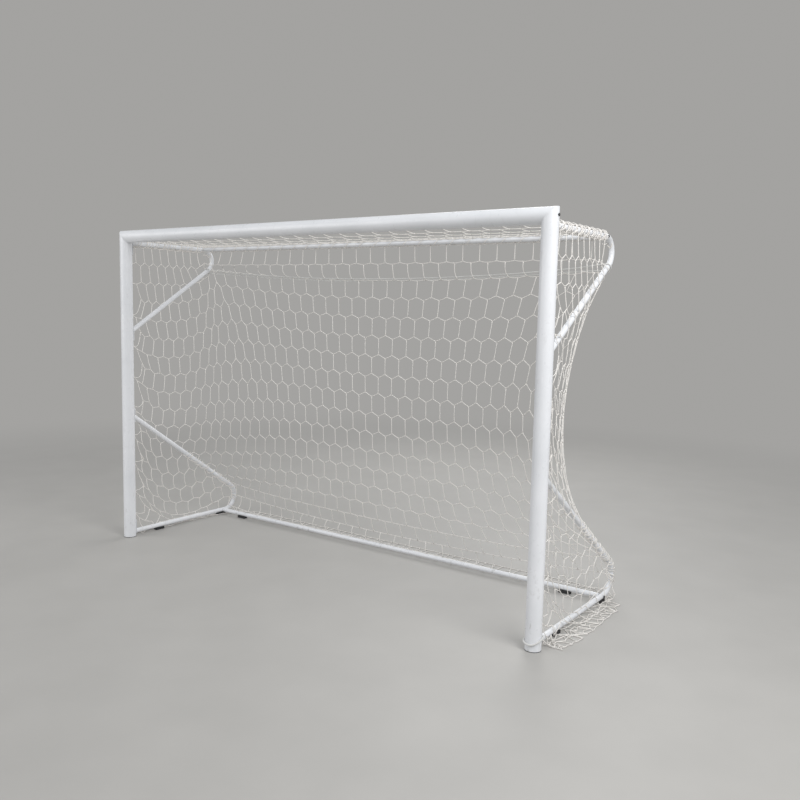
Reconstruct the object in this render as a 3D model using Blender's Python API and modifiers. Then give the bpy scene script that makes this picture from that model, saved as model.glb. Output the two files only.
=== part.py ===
"""Futsal goal with a hung net.

Aluminium posts and crossbar with a rear net groove, two bent stays each side,
two rear bars, rubber floor pads, net hooks, a net rope and a loose net.

Sizes are in metres. The builder works in a frame with x = 0 at the middle of the
mouth, y = 0 on the post axes, +y into the goal and z = 0 on the floor. finish()
then moves each object back by Y_SHIFT, so the origin is under the box's centre.
"""
import math

import bmesh
import bpy
from mathutils import Matrix, Vector

# mouth and frame tube
MOUTH_W = 3.000
MOUTH_H = 2.000
POST_R = 0.040
POST_WALL = 0.003
POST_X = MOUTH_W / 2 + POST_R
BAR_Z = MOUTH_H + POST_R
POST_SIDES = 64

# net groove in the rear of posts and crossbar
SLOT_HALF = 0.0045
LIP_T = 0.0025
CHANNEL_HALF = 0.0075
CHANNEL_DEPTH = 0.006
CHANNEL_WALL = 0.002
CHANNEL_TOP = POST_R - 0.0002 - LIP_T
CHANNEL_FLOOR = CHANNEL_TOP - CHANNEL_DEPTH

# clearances
SEAT_GAP = 0.0003
BOLT_GAP = 0.0004
NET_GAP = 0.0006

# bent side stays, and where the rear bars cross them just short of the bends
STAY_R = 0.015
STAY_WALL = 0.002
STAY_SIDES = 16
BEND_STEPS = 9
UPPER_TUBE_Z = MOUTH_H
UPPER_BEND_Y = 0.667
UPPER_BEND_R = 0.080
UPPER_DROP = math.radians(33.0)
LOWER_TUBE_Z = 0.030
LOWER_BEND_Y = 0.870
LOWER_BEND_R = 0.100
LOWER_RISE = math.radians(35.0)

# welded plates that bolt the stays to the groove
PLATE_W = 0.034
PLATE_T = 0.003
PLATE_FRONT = POST_R + SEAT_GAP
PLATE_REAR = PLATE_FRONT + PLATE_T
DRAIN_R = 0.006

# ends of each plate and place of its bolt, from where the tube meets the plate
UPPER_TOP_PLATE = (-0.075, 0.020)
UPPER_LOW_PLATE = (-0.068, 0.022)
LOWER_TOP_PLATE = (-0.036, 0.059)
LOWER_LOW_PLATE = (-0.014, 0.082)
UPPER_TOP_BOLT = -0.055
UPPER_LOW_BOLT = -0.052
LOWER_TOP_BOLT = 0.042
LOWER_LOW_BOLT = 0.066

# bolts, nuts and inserts
BOLT_R = 0.0036
HEAD_R = 0.0070
HEAD_H = 0.0050
BOLT_STEPS = 12
NUT_LEN = 0.020
CORNER_BOLT_Z = BAR_Z + 0.002
INSERT_WALL = 0.004
INSERT_LEG = 0.150
BAR_PLUG_LEN = 0.025

# rear bars
BAR_R = 0.014
BAR_WALL = 0.002
BAR_SIDES = 20
UPPER_BAR_Y = UPPER_BEND_Y - 0.010
LOWER_BAR_Y = LOWER_BEND_Y - 0.025

# feet and floor pads
FOOT_FLANGE = 0.003
FOOT_PLUG_LEN = 0.030
PAD_LEN = 0.068
PAD_W = 0.030
PAD_LIP = 0.001
SIDE_PAD_Y = (0.245, 0.828)
REAR_PAD_X = POST_X - 0.220

# hook strips that lie in the groove
STRIP_T = 0.0015
STRIP_END_Z = (0.012, MOUTH_H - 0.015)
HOOK_HALF = 0.0040
HOOK_NECK = 0.0050
HOOK_ROOM = 0.0055
HOOK_ARM_T = 0.0025
POST_HOOK_SHARES = (0.935, 0.865, 0.758, 0.6565, 0.5505, 0.449, 0.3475, 0.2545, 0.1525, 0.075)
POST_HOOK_Z = [MOUTH_H * share for share in POST_HOOK_SHARES]
BAR_HOOK_PITCH = 0.115
BAR_HOOK_SIDE = int(MOUTH_W / 2 / BAR_HOOK_PITCH)
BAR_HOOK_COUNT = 2 * BAR_HOOK_SIDE + 1
STRIP_END_X = BAR_HOOK_SIDE * BAR_HOOK_PITCH + 0.015

# ropes
ROPE_R = 0.003
ROPE_HALF_GAP = 0.008
ROPE_Y = 0.700
ROPE_SAG = 0.066
TIE_R = 0.005
TIE_TOP = 0.100
TIE_REAR = 0.066

# net
NET_T = 0.001
NET_FRONT = POST_R + HOOK_ROOM + HOOK_ARM_T + NET_GAP
NET_X = STAY_R + POST_X + NET_GAP
BACK_X = NET_X - 0.0036
SKIRT_HALF = BACK_X - 0.052
SKIRT_BACK = LOWER_BAR_Y + 0.245
SKIRT_OUT = POST_X + 0.100

# floor folds of the side nets: ends, least width, step past the bolt heads, swelling
SIDE_FOLD_Y = (0.085, LOWER_BAR_Y + 0.090)
SIDE_FOLD_OUT = POST_X + 0.058
SIDE_FOLD_STEP = 0.0072
SWELL_Y = LOWER_BAR_Y - 0.225
SWELL_SPAN = 0.220

# plain grid of openings in the back net, which stands for its much finer mesh
MESH_ACROSS = 12
MESH_DOWN = 8
MESH_TOP = 0.850
MESH_FOOT = 0.110
MESH_BAND = 0.014

TIE_FRONT = POST_R + SEAT_GAP + 2 * TIE_R
Y_SHIFT = -(SKIRT_BACK - TIE_FRONT) / 2

WHITE_PAINT = (0.86, 0.87, 0.89)
RUBBER = (0.03, 0.03, 0.032)
ZINC = (0.62, 0.63, 0.65)
CORD = (0.82, 0.78, 0.73)


def collection(name):
    found = bpy.data.collections.new(name)
    bpy.context.scene.collection.children.link(found)
    return found


for old in list(bpy.data.objects):
    bpy.data.objects.remove(old, do_unlink=True)
PARTS = collection("futsal_goal")
CUTTERS = collection("cutters")


def material(name, rgb, roughness, metallic):
    mat = bpy.data.materials.new(name)
    mat.use_nodes = True
    shader = mat.node_tree.nodes["Principled BSDF"]
    shader.inputs["Base Color"].default_value = (*rgb, 1.0)
    shader.inputs["Roughness"].default_value = roughness
    shader.inputs["Metallic"].default_value = metallic
    mat.diffuse_color = (*rgb, 1.0)
    return mat


def mesh_from_bm(bm, name):
    mesh = bpy.data.meshes.new(name)
    bmesh.ops.recalc_face_normals(bm, faces=bm.faces)
    bm.to_mesh(mesh)
    bm.free()
    return mesh


def evaluated_mesh(obj):
    bpy.context.view_layer.update()
    graph = bpy.context.evaluated_depsgraph_get()
    return bpy.data.meshes.new_from_object(obj.evaluated_get(graph))


def cutter(name, mesh):
    obj = bpy.data.objects.new(name, mesh)
    CUTTERS.objects.link(obj)
    obj.display_type = "WIRE"
    obj.hide_render = True
    return obj


def curve_mesh(name, data):
    """Turn a curve into a clean mesh and remove the curve."""
    obj = bpy.data.objects.new(name, data)
    CUTTERS.objects.link(obj)
    mesh = evaluated_mesh(obj)
    bpy.data.objects.remove(obj, do_unlink=True)
    bm = bmesh.new()
    bm.from_mesh(mesh)
    bmesh.ops.remove_doubles(bm, verts=bm.verts, dist=0.00001)
    return mesh_from_bm(bm, name)


def outline_mesh(name, loops, depth):
    """Fill closed outlines (later ones are holes) and extrude them by depth."""
    data = bpy.data.curves.new(name, "CURVE")
    data.dimensions = "2D"
    data.fill_mode = "BOTH"
    data.extrude = depth / 2
    for loop in loops:
        spline = data.splines.new("POLY")
        spline.points.add(len(loop) - 1)
        for point, (u, w) in zip(spline.points, loop):
            point.co = (u, w, 0.0, 1.0)
        spline.use_cyclic_u = True
    return curve_mesh(name, data)


def sweep_mesh(name, points, radius, sides, cyclic=False, caps=False):
    """Sweep a round section along a smooth run of points."""
    data = bpy.data.curves.new(name, "CURVE")
    data.dimensions = "3D"
    data.bevel_depth = radius
    data.bevel_resolution = (sides - 4) // 2
    data.use_fill_caps = caps
    spline = data.splines.new("POLY")
    spline.points.add(len(points) - 1)
    for point, co in zip(spline.points, points):
        point.co = (*co, 1.0)
    spline.use_cyclic_u = cyclic
    return curve_mesh(name, data)


def tube_mesh(name, points, radius, wall, sides):
    """Open swept surface given a wall inward."""
    obj = cutter(name, sweep_mesh(name, points, radius, sides))
    solid = obj.modifiers.new("wall", "SOLIDIFY")
    solid.thickness = wall
    solid.offset = -1.0
    solid.use_even_offset = True
    mesh = evaluated_mesh(obj)
    bpy.data.objects.remove(obj, do_unlink=True)
    return mesh


def lathe_mesh(name, profile, steps):
    """Turn a (radius, height) profile about Z."""
    mesh = bpy.data.meshes.new(name)
    points = [(r, 0.0, h) for r, h in profile]
    edges = [(i, i + 1) for i in range(len(points) - 1)]
    mesh.from_pydata(points, edges, [])
    obj = cutter(name, mesh)
    screw = obj.modifiers.new("turn", "SCREW")
    screw.steps = steps
    screw.render_steps = steps
    screw.use_merge_vertices = True
    screw.merge_threshold = 0.00001
    turned = evaluated_mesh(obj)
    bpy.data.objects.remove(obj, do_unlink=True)
    bm = bmesh.new()
    bm.from_mesh(turned)
    bmesh.ops.remove_doubles(bm, verts=bm.verts, dist=0.00001)
    return mesh_from_bm(bm, name)


def cylinder_mesh(name, radius, depth, sides):
    bm = bmesh.new()
    bmesh.ops.create_cone(bm, cap_ends=True, cap_tris=False, segments=sides,
                          radius1=radius, radius2=radius, depth=depth)
    return mesh_from_bm(bm, name)


def box_mesh(name, low, high):
    bm = bmesh.new()
    bmesh.ops.create_cube(bm, size=1.0)
    size = [b - a for a, b in zip(low, high)]
    middle = [(a + b) / 2 for a, b in zip(low, high)]
    bmesh.ops.transform(bm, matrix=Matrix.Translation(middle) @ Matrix.Diagonal((*size, 1.0)),
                        verts=bm.verts)
    return mesh_from_bm(bm, name)


def axes(x_to, y_to, z_to, place):
    """Placement that sends local X, Y and Z to the given directions."""
    turn = Matrix((x_to, y_to, z_to)).transposed().to_4x4()
    return Matrix.Translation(place) @ turn


def mirrored(mesh, name):
    bm = bmesh.new()
    bm.from_mesh(mesh)
    bmesh.ops.transform(bm, matrix=Matrix.Diagonal((-1.0, 1.0, 1.0, 1.0)), verts=bm.verts)
    bmesh.ops.reverse_faces(bm, faces=bm.faces)
    return mesh_from_bm(bm, name)


def with_booleans(name, mesh, steps):
    """Apply exact Booleans in order; each step is (operation, mesh)."""
    obj = cutter(name, mesh)
    for number, (operation, tool) in enumerate(steps):
        other = cutter(f"{name}_tool_{number}", tool)
        mod = obj.modifiers.new("cut", "BOOLEAN")
        mod.solver = "EXACT"
        mod.operation = operation
        mod.object = other
    result = evaluated_mesh(obj)
    bpy.data.objects.remove(obj, do_unlink=True)
    bm = bmesh.new()
    bm.from_mesh(result)
    bmesh.ops.remove_doubles(bm, verts=bm.verts, dist=0.00001)
    return mesh_from_bm(bm, name)


def finish(name, mesh, rgb, roughness, metallic, smooth=True):
    """Make the named part, moved so the box's centre is over the origin."""
    mesh.transform(Matrix.Translation((0.0, Y_SHIFT, 0.0)))
    mesh.materials.clear()
    mesh.materials.append(material(name, rgb, roughness, metallic))
    for face in mesh.polygons:
        face.use_smooth = smooth
        face.material_index = 0
    if smooth:
        mesh.set_sharp_from_angle(angle=math.radians(35.0))
    obj = bpy.data.objects.new(name, mesh)
    PARTS.objects.link(obj)
    return obj


def both_sides(name, right_mesh, rgb, roughness, metallic):
    finish(f"left_{name}", mirrored(right_mesh, f"left_{name}"), rgb, roughness, metallic)
    finish(f"right_{name}", right_mesh, rgb, roughness, metallic)


# frame section: u across the groove, w out through it

def circle_points(radius, count, half_gap):
    """Points of a circle from one side of the rear gap round to the other."""
    start = math.asin(half_gap / radius)
    turn = 2 * math.pi - 2 * start
    points = []
    for i in range(count + 1):
        angle = start + turn * i / count
        points.append((radius * math.sin(angle), radius * math.cos(angle)))
    return points


def section_outer():
    ring = circle_points(POST_R, POST_SIDES, SLOT_HALF)
    channel = [
        (-SLOT_HALF, CHANNEL_TOP),
        (-CHANNEL_HALF, CHANNEL_TOP),
        (-CHANNEL_HALF, CHANNEL_FLOOR),
        (CHANNEL_HALF, CHANNEL_FLOOR),
        (CHANNEL_HALF, CHANNEL_TOP),
        (SLOT_HALF, CHANNEL_TOP),
    ]
    return ring + channel


def section_hollow(clearance, count):
    """The hollow inside the tube; a positive clearance makes a plug that fits it."""
    radius = POST_R - POST_WALL - clearance
    half = CHANNEL_HALF + CHANNEL_WALL + clearance
    floor = CHANNEL_FLOOR - CHANNEL_WALL - clearance
    return circle_points(radius, count, half) + [(-half, floor), (half, floor)]


def section_mesh(name, length):
    return outline_mesh(name, [section_outer(), section_hollow(0.0, POST_SIDES)], length)


CORNER = Vector((POST_X, 0.0, BAR_Z))
MITRE = Vector((-1.0, 0.0, 1.0)).normalized()
MITRE_CUT = 0.30
OVERRUN = 0.005


def mitre_cutter(name, upward):
    """Block whose face lies on the 45 degree corner plane, half a gap over it."""
    half = MITRE_CUT / 2
    shift = half - SEAT_GAP / 2
    middle = CORNER + MITRE * (shift if upward else -shift)
    along = Vector((1.0, 0.0, 1.0)).normalized()
    mesh = box_mesh(name, (-half, -half, -half), (half, half, half))
    mesh.transform(axes(Vector((0.0, -1.0, 0.0)), along, MITRE, middle))
    return mesh


def along_x(mesh, place):
    """Lay a mesh made along Z along +X at a place."""
    mesh.transform(axes(Vector((0, 0, -1)), Vector((0, 1, 0)), Vector((1, 0, 0)), place))
    return mesh


def along_y(mesh, place):
    mesh.transform(axes(Vector((1, 0, 0)), Vector((0, 0, -1)), Vector((0, 1, 0)), place))
    return mesh


def build_frame():
    bottom = FOOT_FLANGE + SEAT_GAP
    top = BAR_Z + POST_R + OVERRUN
    post = section_mesh("post", top - bottom)
    post.transform(Matrix.Translation((POST_X, 0.0, (top + bottom) / 2)))
    hole = along_x(cylinder_mesh("corner_hole", BOLT_R + BOLT_GAP, 0.060, 16),
                   (POST_X + POST_R, 0.0, CORNER_BOLT_Z))
    post = with_booleans("post", post, [
        ("DIFFERENCE", mitre_cutter("post_mitre", True)),
        ("DIFFERENCE", hole.copy()),
    ])
    both_sides("post", post, WHITE_PAINT, 0.32, 0.0)

    bar = section_mesh("crossbar", 2 * (POST_X + POST_R + OVERRUN))
    bar.transform(axes(Vector((0, 0, 1)), Vector((0, 1, 0)), Vector((-1, 0, 0)),
                       (0.0, 0.0, BAR_Z)))
    cut = mitre_cutter("bar_mitre", False)
    bar = with_booleans("crossbar", bar, [
        ("DIFFERENCE", cut),
        ("DIFFERENCE", mirrored(cut, "bar_mitre_left")),
    ])
    finish("crossbar", bar, WHITE_PAINT, 0.32, 0.0)

    half = (POST_R - POST_WALL - SEAT_GAP) / math.sqrt(2.0)
    insert = outline_mesh("corner_insert", [
        corner_outline(half, 0.0),
        corner_outline(half - INSERT_WALL, INSERT_WALL),
    ], 2 * half)
    insert.transform(axes(Vector((1, 0, 0)), Vector((0, 0, 1)), Vector((0, -1, 0)),
                          (0.0, 0.0, 0.0)))
    insert = with_booleans("corner_insert", insert, [("DIFFERENCE", hole)])
    both_sides("corner_insert", insert, (0.55, 0.56, 0.58), 0.45, 0.9)

    bolt = bolt_mesh("corner_bolt", POST_R - half + INSERT_WALL + 0.001)
    bolt = along_x(bolt, (POST_X + POST_R + SEAT_GAP, 0.0, CORNER_BOLT_Z))
    both_sides("corner_bolt", bolt, RUBBER, 0.45, 0.0)

    flange = cylinder_mesh("foot", POST_R, FOOT_FLANGE, POST_SIDES)
    flange.transform(Matrix.Translation((POST_X, 0.0, FOOT_FLANGE / 2)))
    plug = outline_mesh("foot_plug", [section_hollow(SEAT_GAP, 24)], FOOT_PLUG_LEN)
    plug.transform(Matrix.Translation((POST_X, 0.0, FOOT_PLUG_LEN / 2 + FOOT_FLANGE / 2)))
    foot = with_booleans("foot", flange, [("UNION", plug)])
    both_sides("post_foot", foot, (0.05, 0.05, 0.055), 0.6, 0.0)


def corner_outline(half, inset):
    """L outline in X and Z round the corner of the tube axes."""
    low = BAR_Z - half
    high = BAR_Z + half
    inner = POST_X - half
    outer = POST_X + half
    leg_end = POST_X - half - INSERT_LEG + 2 * inset
    foot_end = BAR_Z - half - INSERT_LEG + 2 * inset
    return [
        (outer, high),
        (leg_end, high),
        (leg_end, low),
        (inner, low),
        (inner, foot_end),
        (outer, foot_end),
    ]


def bolt_mesh(name, length):
    """Bolt along Z: the head's seat is at zero and the shank runs down."""
    return lathe_mesh(name, [
        (0.0, HEAD_H),
        (HEAD_R * 0.8, HEAD_H),
        (HEAD_R, HEAD_H * 0.75),
        (HEAD_R, 0.0),
        (BOLT_R, 0.0),
        (BOLT_R, -length),
        (0.0, -length),
    ], BOLT_STEPS)


# stays

def arc(centre, radius, first, last):
    """Points in the Y and Z plane round a bend, angles measured from +Y."""
    points = []
    for i in range(BEND_STEPS + 1):
        angle = first + (last - first) * i / BEND_STEPS
        y = centre[0] + radius * math.cos(angle)
        z = centre[1] + radius * math.sin(angle)
        points.append((POST_X, y, z))
    return points


def run_to_plate(point, slope):
    """End of a straight run from a bend down to the middle of the plate."""
    y = PLATE_FRONT - STAY_R
    return (POST_X, y, point[2] + slope * (point[1] - y))


def upper_path():
    centre = (UPPER_BEND_Y, UPPER_TUBE_Z - UPPER_BEND_R)
    bend = arc(centre, UPPER_BEND_R, math.pi / 2, UPPER_DROP - math.pi / 2)
    start = (POST_X, PLATE_FRONT - STAY_R, UPPER_TUBE_Z)
    return [start] + bend + [run_to_plate(bend[-1], -math.tan(UPPER_DROP))]


def lower_path():
    centre = (LOWER_BEND_Y, LOWER_TUBE_Z + LOWER_BEND_R)
    bend = arc(centre, LOWER_BEND_R, -math.pi / 2, math.pi / 2 - LOWER_RISE)
    start = (POST_X, PLATE_FRONT - STAY_R, LOWER_TUBE_Z)
    return [start] + bend + [run_to_plate(bend[-1], math.tan(LOWER_RISE))]


def height_at_plate(path):
    (_, y0, z0), (_, y1, z1) = path[-2], path[-1]
    share = (PLATE_REAR - y0) / (y1 - y0)
    return z0 + share * (z1 - z0)


def plate_mesh(name, span):
    return box_mesh(name, (POST_X - PLATE_W / 2, PLATE_FRONT, span[0]),
                    (POST_X + PLATE_W / 2, PLATE_REAR, span[1]))


def build_stay(name, path, plates, bolts, bar_y, bar_z):
    tube = tube_mesh(name, path, STAY_R, STAY_WALL, STAY_SIDES)
    trim = box_mesh("trim", (POST_X - PLATE_W, -PLATE_W, path[0][2] - MOUTH_H),
                    (POST_X + PLATE_W, PLATE_REAR - PLATE_T / 2, path[0][2] + MOUTH_H))
    steps = [("DIFFERENCE", trim)]
    meets = (path[0][2], height_at_plate(path))
    for z, span in zip(meets, plates):
        steps.append(("UNION", plate_mesh("plate", (z + span[0], z + span[1]))))
    for z in meets:
        drain = cylinder_mesh("drain", DRAIN_R, 2 * PLATE_T, 12)
        steps.append(("DIFFERENCE", along_y(drain, (POST_X, PLATE_REAR, z))))
    for z, bolt in zip(meets, bolts):
        z += bolt
        hole = cylinder_mesh("bolt_hole", BOLT_R + BOLT_GAP, 4 * PLATE_T, 16)
        steps.append(("DIFFERENCE", along_y(hole, (POST_X, PLATE_REAR, z))))
    cross = cylinder_mesh("bar_hole", BOLT_R + BOLT_GAP, 0.050, 16)
    steps.append(("DIFFERENCE", along_x(cross, (POST_X, bar_y, bar_z))))
    stay = with_booleans(name, tube, steps)
    both_sides(name, stay, WHITE_PAINT, 0.35, 0.0)


def build_stays():
    build_stay("upper_stay", upper_path(), (UPPER_TOP_PLATE, UPPER_LOW_PLATE),
               (UPPER_TOP_BOLT, UPPER_LOW_BOLT), UPPER_BAR_Y, UPPER_TUBE_Z)
    build_stay("lower_stay", lower_path(), (LOWER_LOW_PLATE, LOWER_TOP_PLATE),
               (LOWER_LOW_BOLT, LOWER_TOP_BOLT), LOWER_BAR_Y, LOWER_TUBE_Z)

    nut_low = CHANNEL_FLOOR + STRIP_T + 2 * SEAT_GAP
    nut_high = CHANNEL_TOP - SEAT_GAP
    half = CHANNEL_HALF - SEAT_GAP
    block = [(-half, -NUT_LEN / 2), (half, -NUT_LEN / 2), (half, NUT_LEN / 2),
             (-half, NUT_LEN / 2)]
    hole_r = BOLT_R + SEAT_GAP
    ring = [(hole_r * math.cos(a * math.pi / 6), hole_r * math.sin(a * math.pi / 6))
            for a in range(12)]
    seat = PLATE_REAR + SEAT_GAP
    bolt_heights = {
        "upper_stay_top": UPPER_TUBE_Z + UPPER_TOP_BOLT,
        "upper_stay_low": height_at_plate(upper_path()) + UPPER_LOW_BOLT,
        "lower_stay_top": height_at_plate(lower_path()) + LOWER_TOP_BOLT,
        "lower_stay_low": LOWER_TUBE_Z + LOWER_LOW_BOLT,
    }
    for name, z in bolt_heights.items():
        bolt = along_y(bolt_mesh("stay_bolt", seat - nut_low - 2 * SEAT_GAP), (POST_X, seat, z))
        both_sides(f"{name}_bolt", bolt, ZINC, 0.35, 0.9)
        nut = outline_mesh("nut", [block, ring], nut_high - nut_low)
        nut.transform(axes(Vector((1, 0, 0)), Vector((0, 0, 1)), Vector((0, -1, 0)),
                           (POST_X, (nut_high + nut_low) / 2, z)))
        both_sides(f"{name}_nut", nut, ZINC, 0.4, 0.9)


def build_rear_bars():
    end = POST_X - STAY_R - SEAT_GAP
    for name, y, z in (("upper", UPPER_BAR_Y, UPPER_TUBE_Z), ("lower", LOWER_BAR_Y, LOWER_TUBE_Z)):
        bar = tube_mesh(f"{name}_rear_bar", [(-end, y, z), (end, y, z)], BAR_R, BAR_WALL,
                        BAR_SIDES)
        finish(f"{name}_rear_bar", bar, WHITE_PAINT, 0.35, 0.0)

        plug_r = BAR_R - BAR_WALL - SEAT_GAP
        hole_r = BOLT_R + SEAT_GAP
        plug = lathe_mesh("bar_insert", [
            (hole_r, -BAR_PLUG_LEN / 2),
            (plug_r, -BAR_PLUG_LEN / 2),
            (plug_r, BAR_PLUG_LEN / 2),
            (hole_r, BAR_PLUG_LEN / 2),
            (hole_r, -BAR_PLUG_LEN / 2),
        ], 16)
        both_sides(f"{name}_bar_insert", along_x(plug, (end - BAR_PLUG_LEN / 2, y, z)),
                   ZINC, 0.4, 0.9)

        bolt = bolt_mesh("bar_bolt", 2 * STAY_R + 3 * SEAT_GAP + 0.6 * BAR_PLUG_LEN)
        both_sides(f"{name}_bar_bolt", along_x(bolt, (POST_X + STAY_R + SEAT_GAP, y, z)),
                   RUBBER, 0.45, 0.0)


def pad_outline(tube_r, tube_z):
    """Block with a shallow saddle for the tube, across in u and up in w."""
    height = tube_z - tube_r + PAD_LIP
    saddle = tube_r + SEAT_GAP
    reach = math.acos((tube_z - height) / saddle)
    points = [(-PAD_W / 2, 0.0), (PAD_W / 2, 0.0), (PAD_W / 2, height)]
    for i in range(7):
        angle = reach - 2 * reach * i / 6
        points.append((saddle * math.sin(angle), tube_z - saddle * math.cos(angle)))
    points.append((-PAD_W / 2, height))
    return points


def build_pads():
    side = outline_mesh("pad", [pad_outline(STAY_R, LOWER_TUBE_Z)], PAD_LEN)
    for name, y in zip(("front_pad", "rear_pad"), SIDE_PAD_Y):
        pad = side.copy()
        pad.transform(axes(Vector((1, 0, 0)), Vector((0, 0, 1)), Vector((0, -1, 0)),
                           (POST_X, y, 0.0)))
        both_sides(name, pad, RUBBER, 0.8, 0.0)
    rear = outline_mesh("bar_pad", [pad_outline(BAR_R, LOWER_TUBE_Z)], PAD_LEN)
    rear.transform(axes(Vector((0, 1, 0)), Vector((0, 0, 1)), Vector((1, 0, 0)),
                        (REAR_PAD_X, LOWER_BAR_Y, 0.0)))
    both_sides("bar_pad", rear, RUBBER, 0.8, 0.0)


def strip_mesh(name, hook_starts, ends):
    """Flat strip in the groove with J hooks standing out of it, along u and out in w."""
    low = CHANNEL_FLOOR + SEAT_GAP
    high = low + STRIP_T
    arm = POST_R + HOOK_ROOM
    top = arm + HOOK_ARM_T
    reach = HOOK_NECK + HOOK_ROOM
    comb = [(ends[0], low + STRIP_T / 3), (ends[1], low + STRIP_T / 3), (ends[1], high)]
    for start in sorted(hook_starts, reverse=True):
        comb += [
            (start + HOOK_NECK, high),
            (start + HOOK_NECK, arm),
            (start + reach - 0.0020, arm),
            (start + reach - 0.0010, arm - 0.0020),
            (start + reach + 0.0010, arm - 0.0015),
            (start + reach, top),
            (start, top),
            (start, high),
        ]
    comb.append((ends[0], high))
    hooks = outline_mesh(name, [comb], 2 * HOOK_HALF)
    half = CHANNEL_HALF - SEAT_GAP
    flat = box_mesh("strip", (ends[0] + 0.001, low, -half), (ends[1] - 0.001, high - 0.0002, half))
    return with_booleans(name, hooks, [("UNION", flat)])


def build_hooks():
    strip = strip_mesh("hook_strip", POST_HOOK_Z, STRIP_END_Z)
    strip.transform(axes(Vector((0, 0, 1)), Vector((0, 1, 0)), Vector((-1, 0, 0)),
                         (POST_X, 0.0, 0.0)))
    both_sides("post_hook_strip", strip, (0.8, 0.8, 0.8), 0.4, 0.0)
    first = -BAR_HOOK_PITCH * BAR_HOOK_SIDE
    starts = [first + i * BAR_HOOK_PITCH - HOOK_NECK / 2 for i in range(BAR_HOOK_COUNT)]
    strip = strip_mesh("crossbar_hook_strip", starts, (-STRIP_END_X, STRIP_END_X))
    strip.transform(axes(Vector((1, 0, 0)), Vector((0, 1, 0)), Vector((0, 0, 1)),
                         (0.0, 0.0, BAR_Z)))
    finish("crossbar_hook_strip", strip, (0.8, 0.8, 0.8), 0.4, 0.0)


def rope_height(x):
    """Sagging line between the two diagonals."""
    path = upper_path()
    (_, y0, z0), (_, y1, z1) = path[-2], path[-1]
    end = z0 + (ROPE_Y - y0) / (y1 - y0) * (z1 - z0)
    return end - ROPE_SAG * (1.0 - (x / POST_X) ** 2)


def build_ropes():
    """One closed rope that loops round both diagonals and runs across twice."""
    turn_r = STAY_R + 2 * NET_GAP + ROPE_R
    slope = UPPER_DROP
    points = []
    runs = 24
    reach = POST_X - turn_r * 0.9
    for i in range(runs + 1):
        x = -reach + 2 * reach * i / runs
        side = ROPE_HALF_GAP + (turn_r - ROPE_HALF_GAP) * (abs(x) / reach) ** 12
        points.append((x, ROPE_Y - side * math.sin(slope), rope_height(x) + side * math.cos(slope)))
    centre = Vector((POST_X, ROPE_Y, rope_height(POST_X)))
    up = Vector((0.0, -math.sin(slope), math.cos(slope)))
    out = Vector((1.0, 0.0, 0.0))
    half_turn = []
    for i in range(1, 10):
        angle = math.pi / 2 - math.pi * i / 10
        half_turn.append(centre + up * (turn_r * math.sin(angle)) + out * (turn_r * math.cos(angle)))
    right = [tuple(p) for p in half_turn]
    upper = points
    lower = [(x, y + 2 * (ROPE_Y - y), z - 2 * (z - rope_height(x))) for x, y, z in reversed(points)]
    left = [(-x, y, z) for x, y, z in reversed(right)]
    path = upper + right + lower + left
    finish("net_rope", sweep_mesh("net_rope", path, ROPE_R, 8, cyclic=True), CORD, 0.85, 0.0)

    ring = []
    radius = POST_R + SEAT_GAP + TIE_R
    count = 40
    for i in range(count):
        angle = 2 * math.pi * i / count
        x = math.sin(angle)
        y = -math.cos(angle)
        z = 0.037 + 0.019 * (1 + y) / 2 + 0.017 * max(0.0, x) ** 2
        behind = max(0.0, y)
        push = 1.0 + 0.20 * behind
        ring.append((POST_X + radius * x * (1 + 0.03 * behind), radius * y * push, z))
    finish("base_tie_rope", sweep_mesh("base_tie_rope", ring, TIE_R, 8, cyclic=True),
           CORD, 0.85, 0.0)


# net: thin closed skins that follow the hung net

# rows of the hung net, as shares of the height between the tubes, of BACK_X and of LOWER_BAR_Y

CORNER_LINE = (
    (0.9391, 0.9961, 0.8994),
    (0.9289, 0.9923, 0.8852),
    (0.8883, 0.9794, 0.8521),
    (0.8223, 0.9472, 0.7751),
    (0.7462, 0.9053, 0.7515),
    (0.6193, 0.8795, 0.7219),
    (0.4924, 0.8602, 0.7337),
    (0.3655, 0.8666, 0.7811),
    (0.2386, 0.9117, 0.8817),
    (0.1371, 0.9762, 1.0355),
    (0.0964, 0.9923, 1.1243),
)
MIDDLE_LINE = (
    (0.9797, 0.8018),
    (0.9594, 0.8118),
    (0.9391, 0.8237),
    (0.9289, 0.8284),
    (0.8883, 0.8497),
    (0.8223, 0.8426),
    (0.7462, 0.8379),
    (0.6193, 0.8438),
    (0.4924, 0.8568),
    (0.3655, 0.8757),
    (0.2386, 0.8947),
    (0.1371, 0.9136),
    (0.0964, 0.9278),
    (0.0711, 0.9444),
    (0.0431, 0.9822),
    (0.0228, 1.0107),
    (0.0091, 1.0254),
)
TOP_ROWS = (0.9391, 0.9289, 0.8883)
FOOT_ROWS = (0.0964,)
MIDDLE_TOP_ROWS = (0.9797, 0.9594)
MIDDLE_FOOT_ROWS = (0.0711, 0.0431, 0.0228, 0.0091)


def level(share):
    """Height of a row, between the lower and the upper tubes."""
    return LOWER_TUBE_Z + share * (UPPER_TUBE_Z - LOWER_TUBE_Z)


def corner_at(share):
    """Where the net's free rear corner runs at a row."""
    return between(share, CORNER_LINE, 1) * BACK_X, between(share, CORNER_LINE, 2) * LOWER_BAR_Y


def middle_at(share):
    """How far back the net hangs at mid width, at a row."""
    return between(share, MIDDLE_LINE, 1) * LOWER_BAR_Y


def mesh_rows():
    """Edges of the openings, from the top of the first to the foot of the last."""
    pitch = (MESH_TOP - MESH_FOOT + MESH_BAND) / MESH_DOWN
    opening = pitch - MESH_BAND
    return [MESH_TOP - (i // 2) * pitch - (i % 2) * opening for i in range(2 * MESH_DOWN)]


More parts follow.
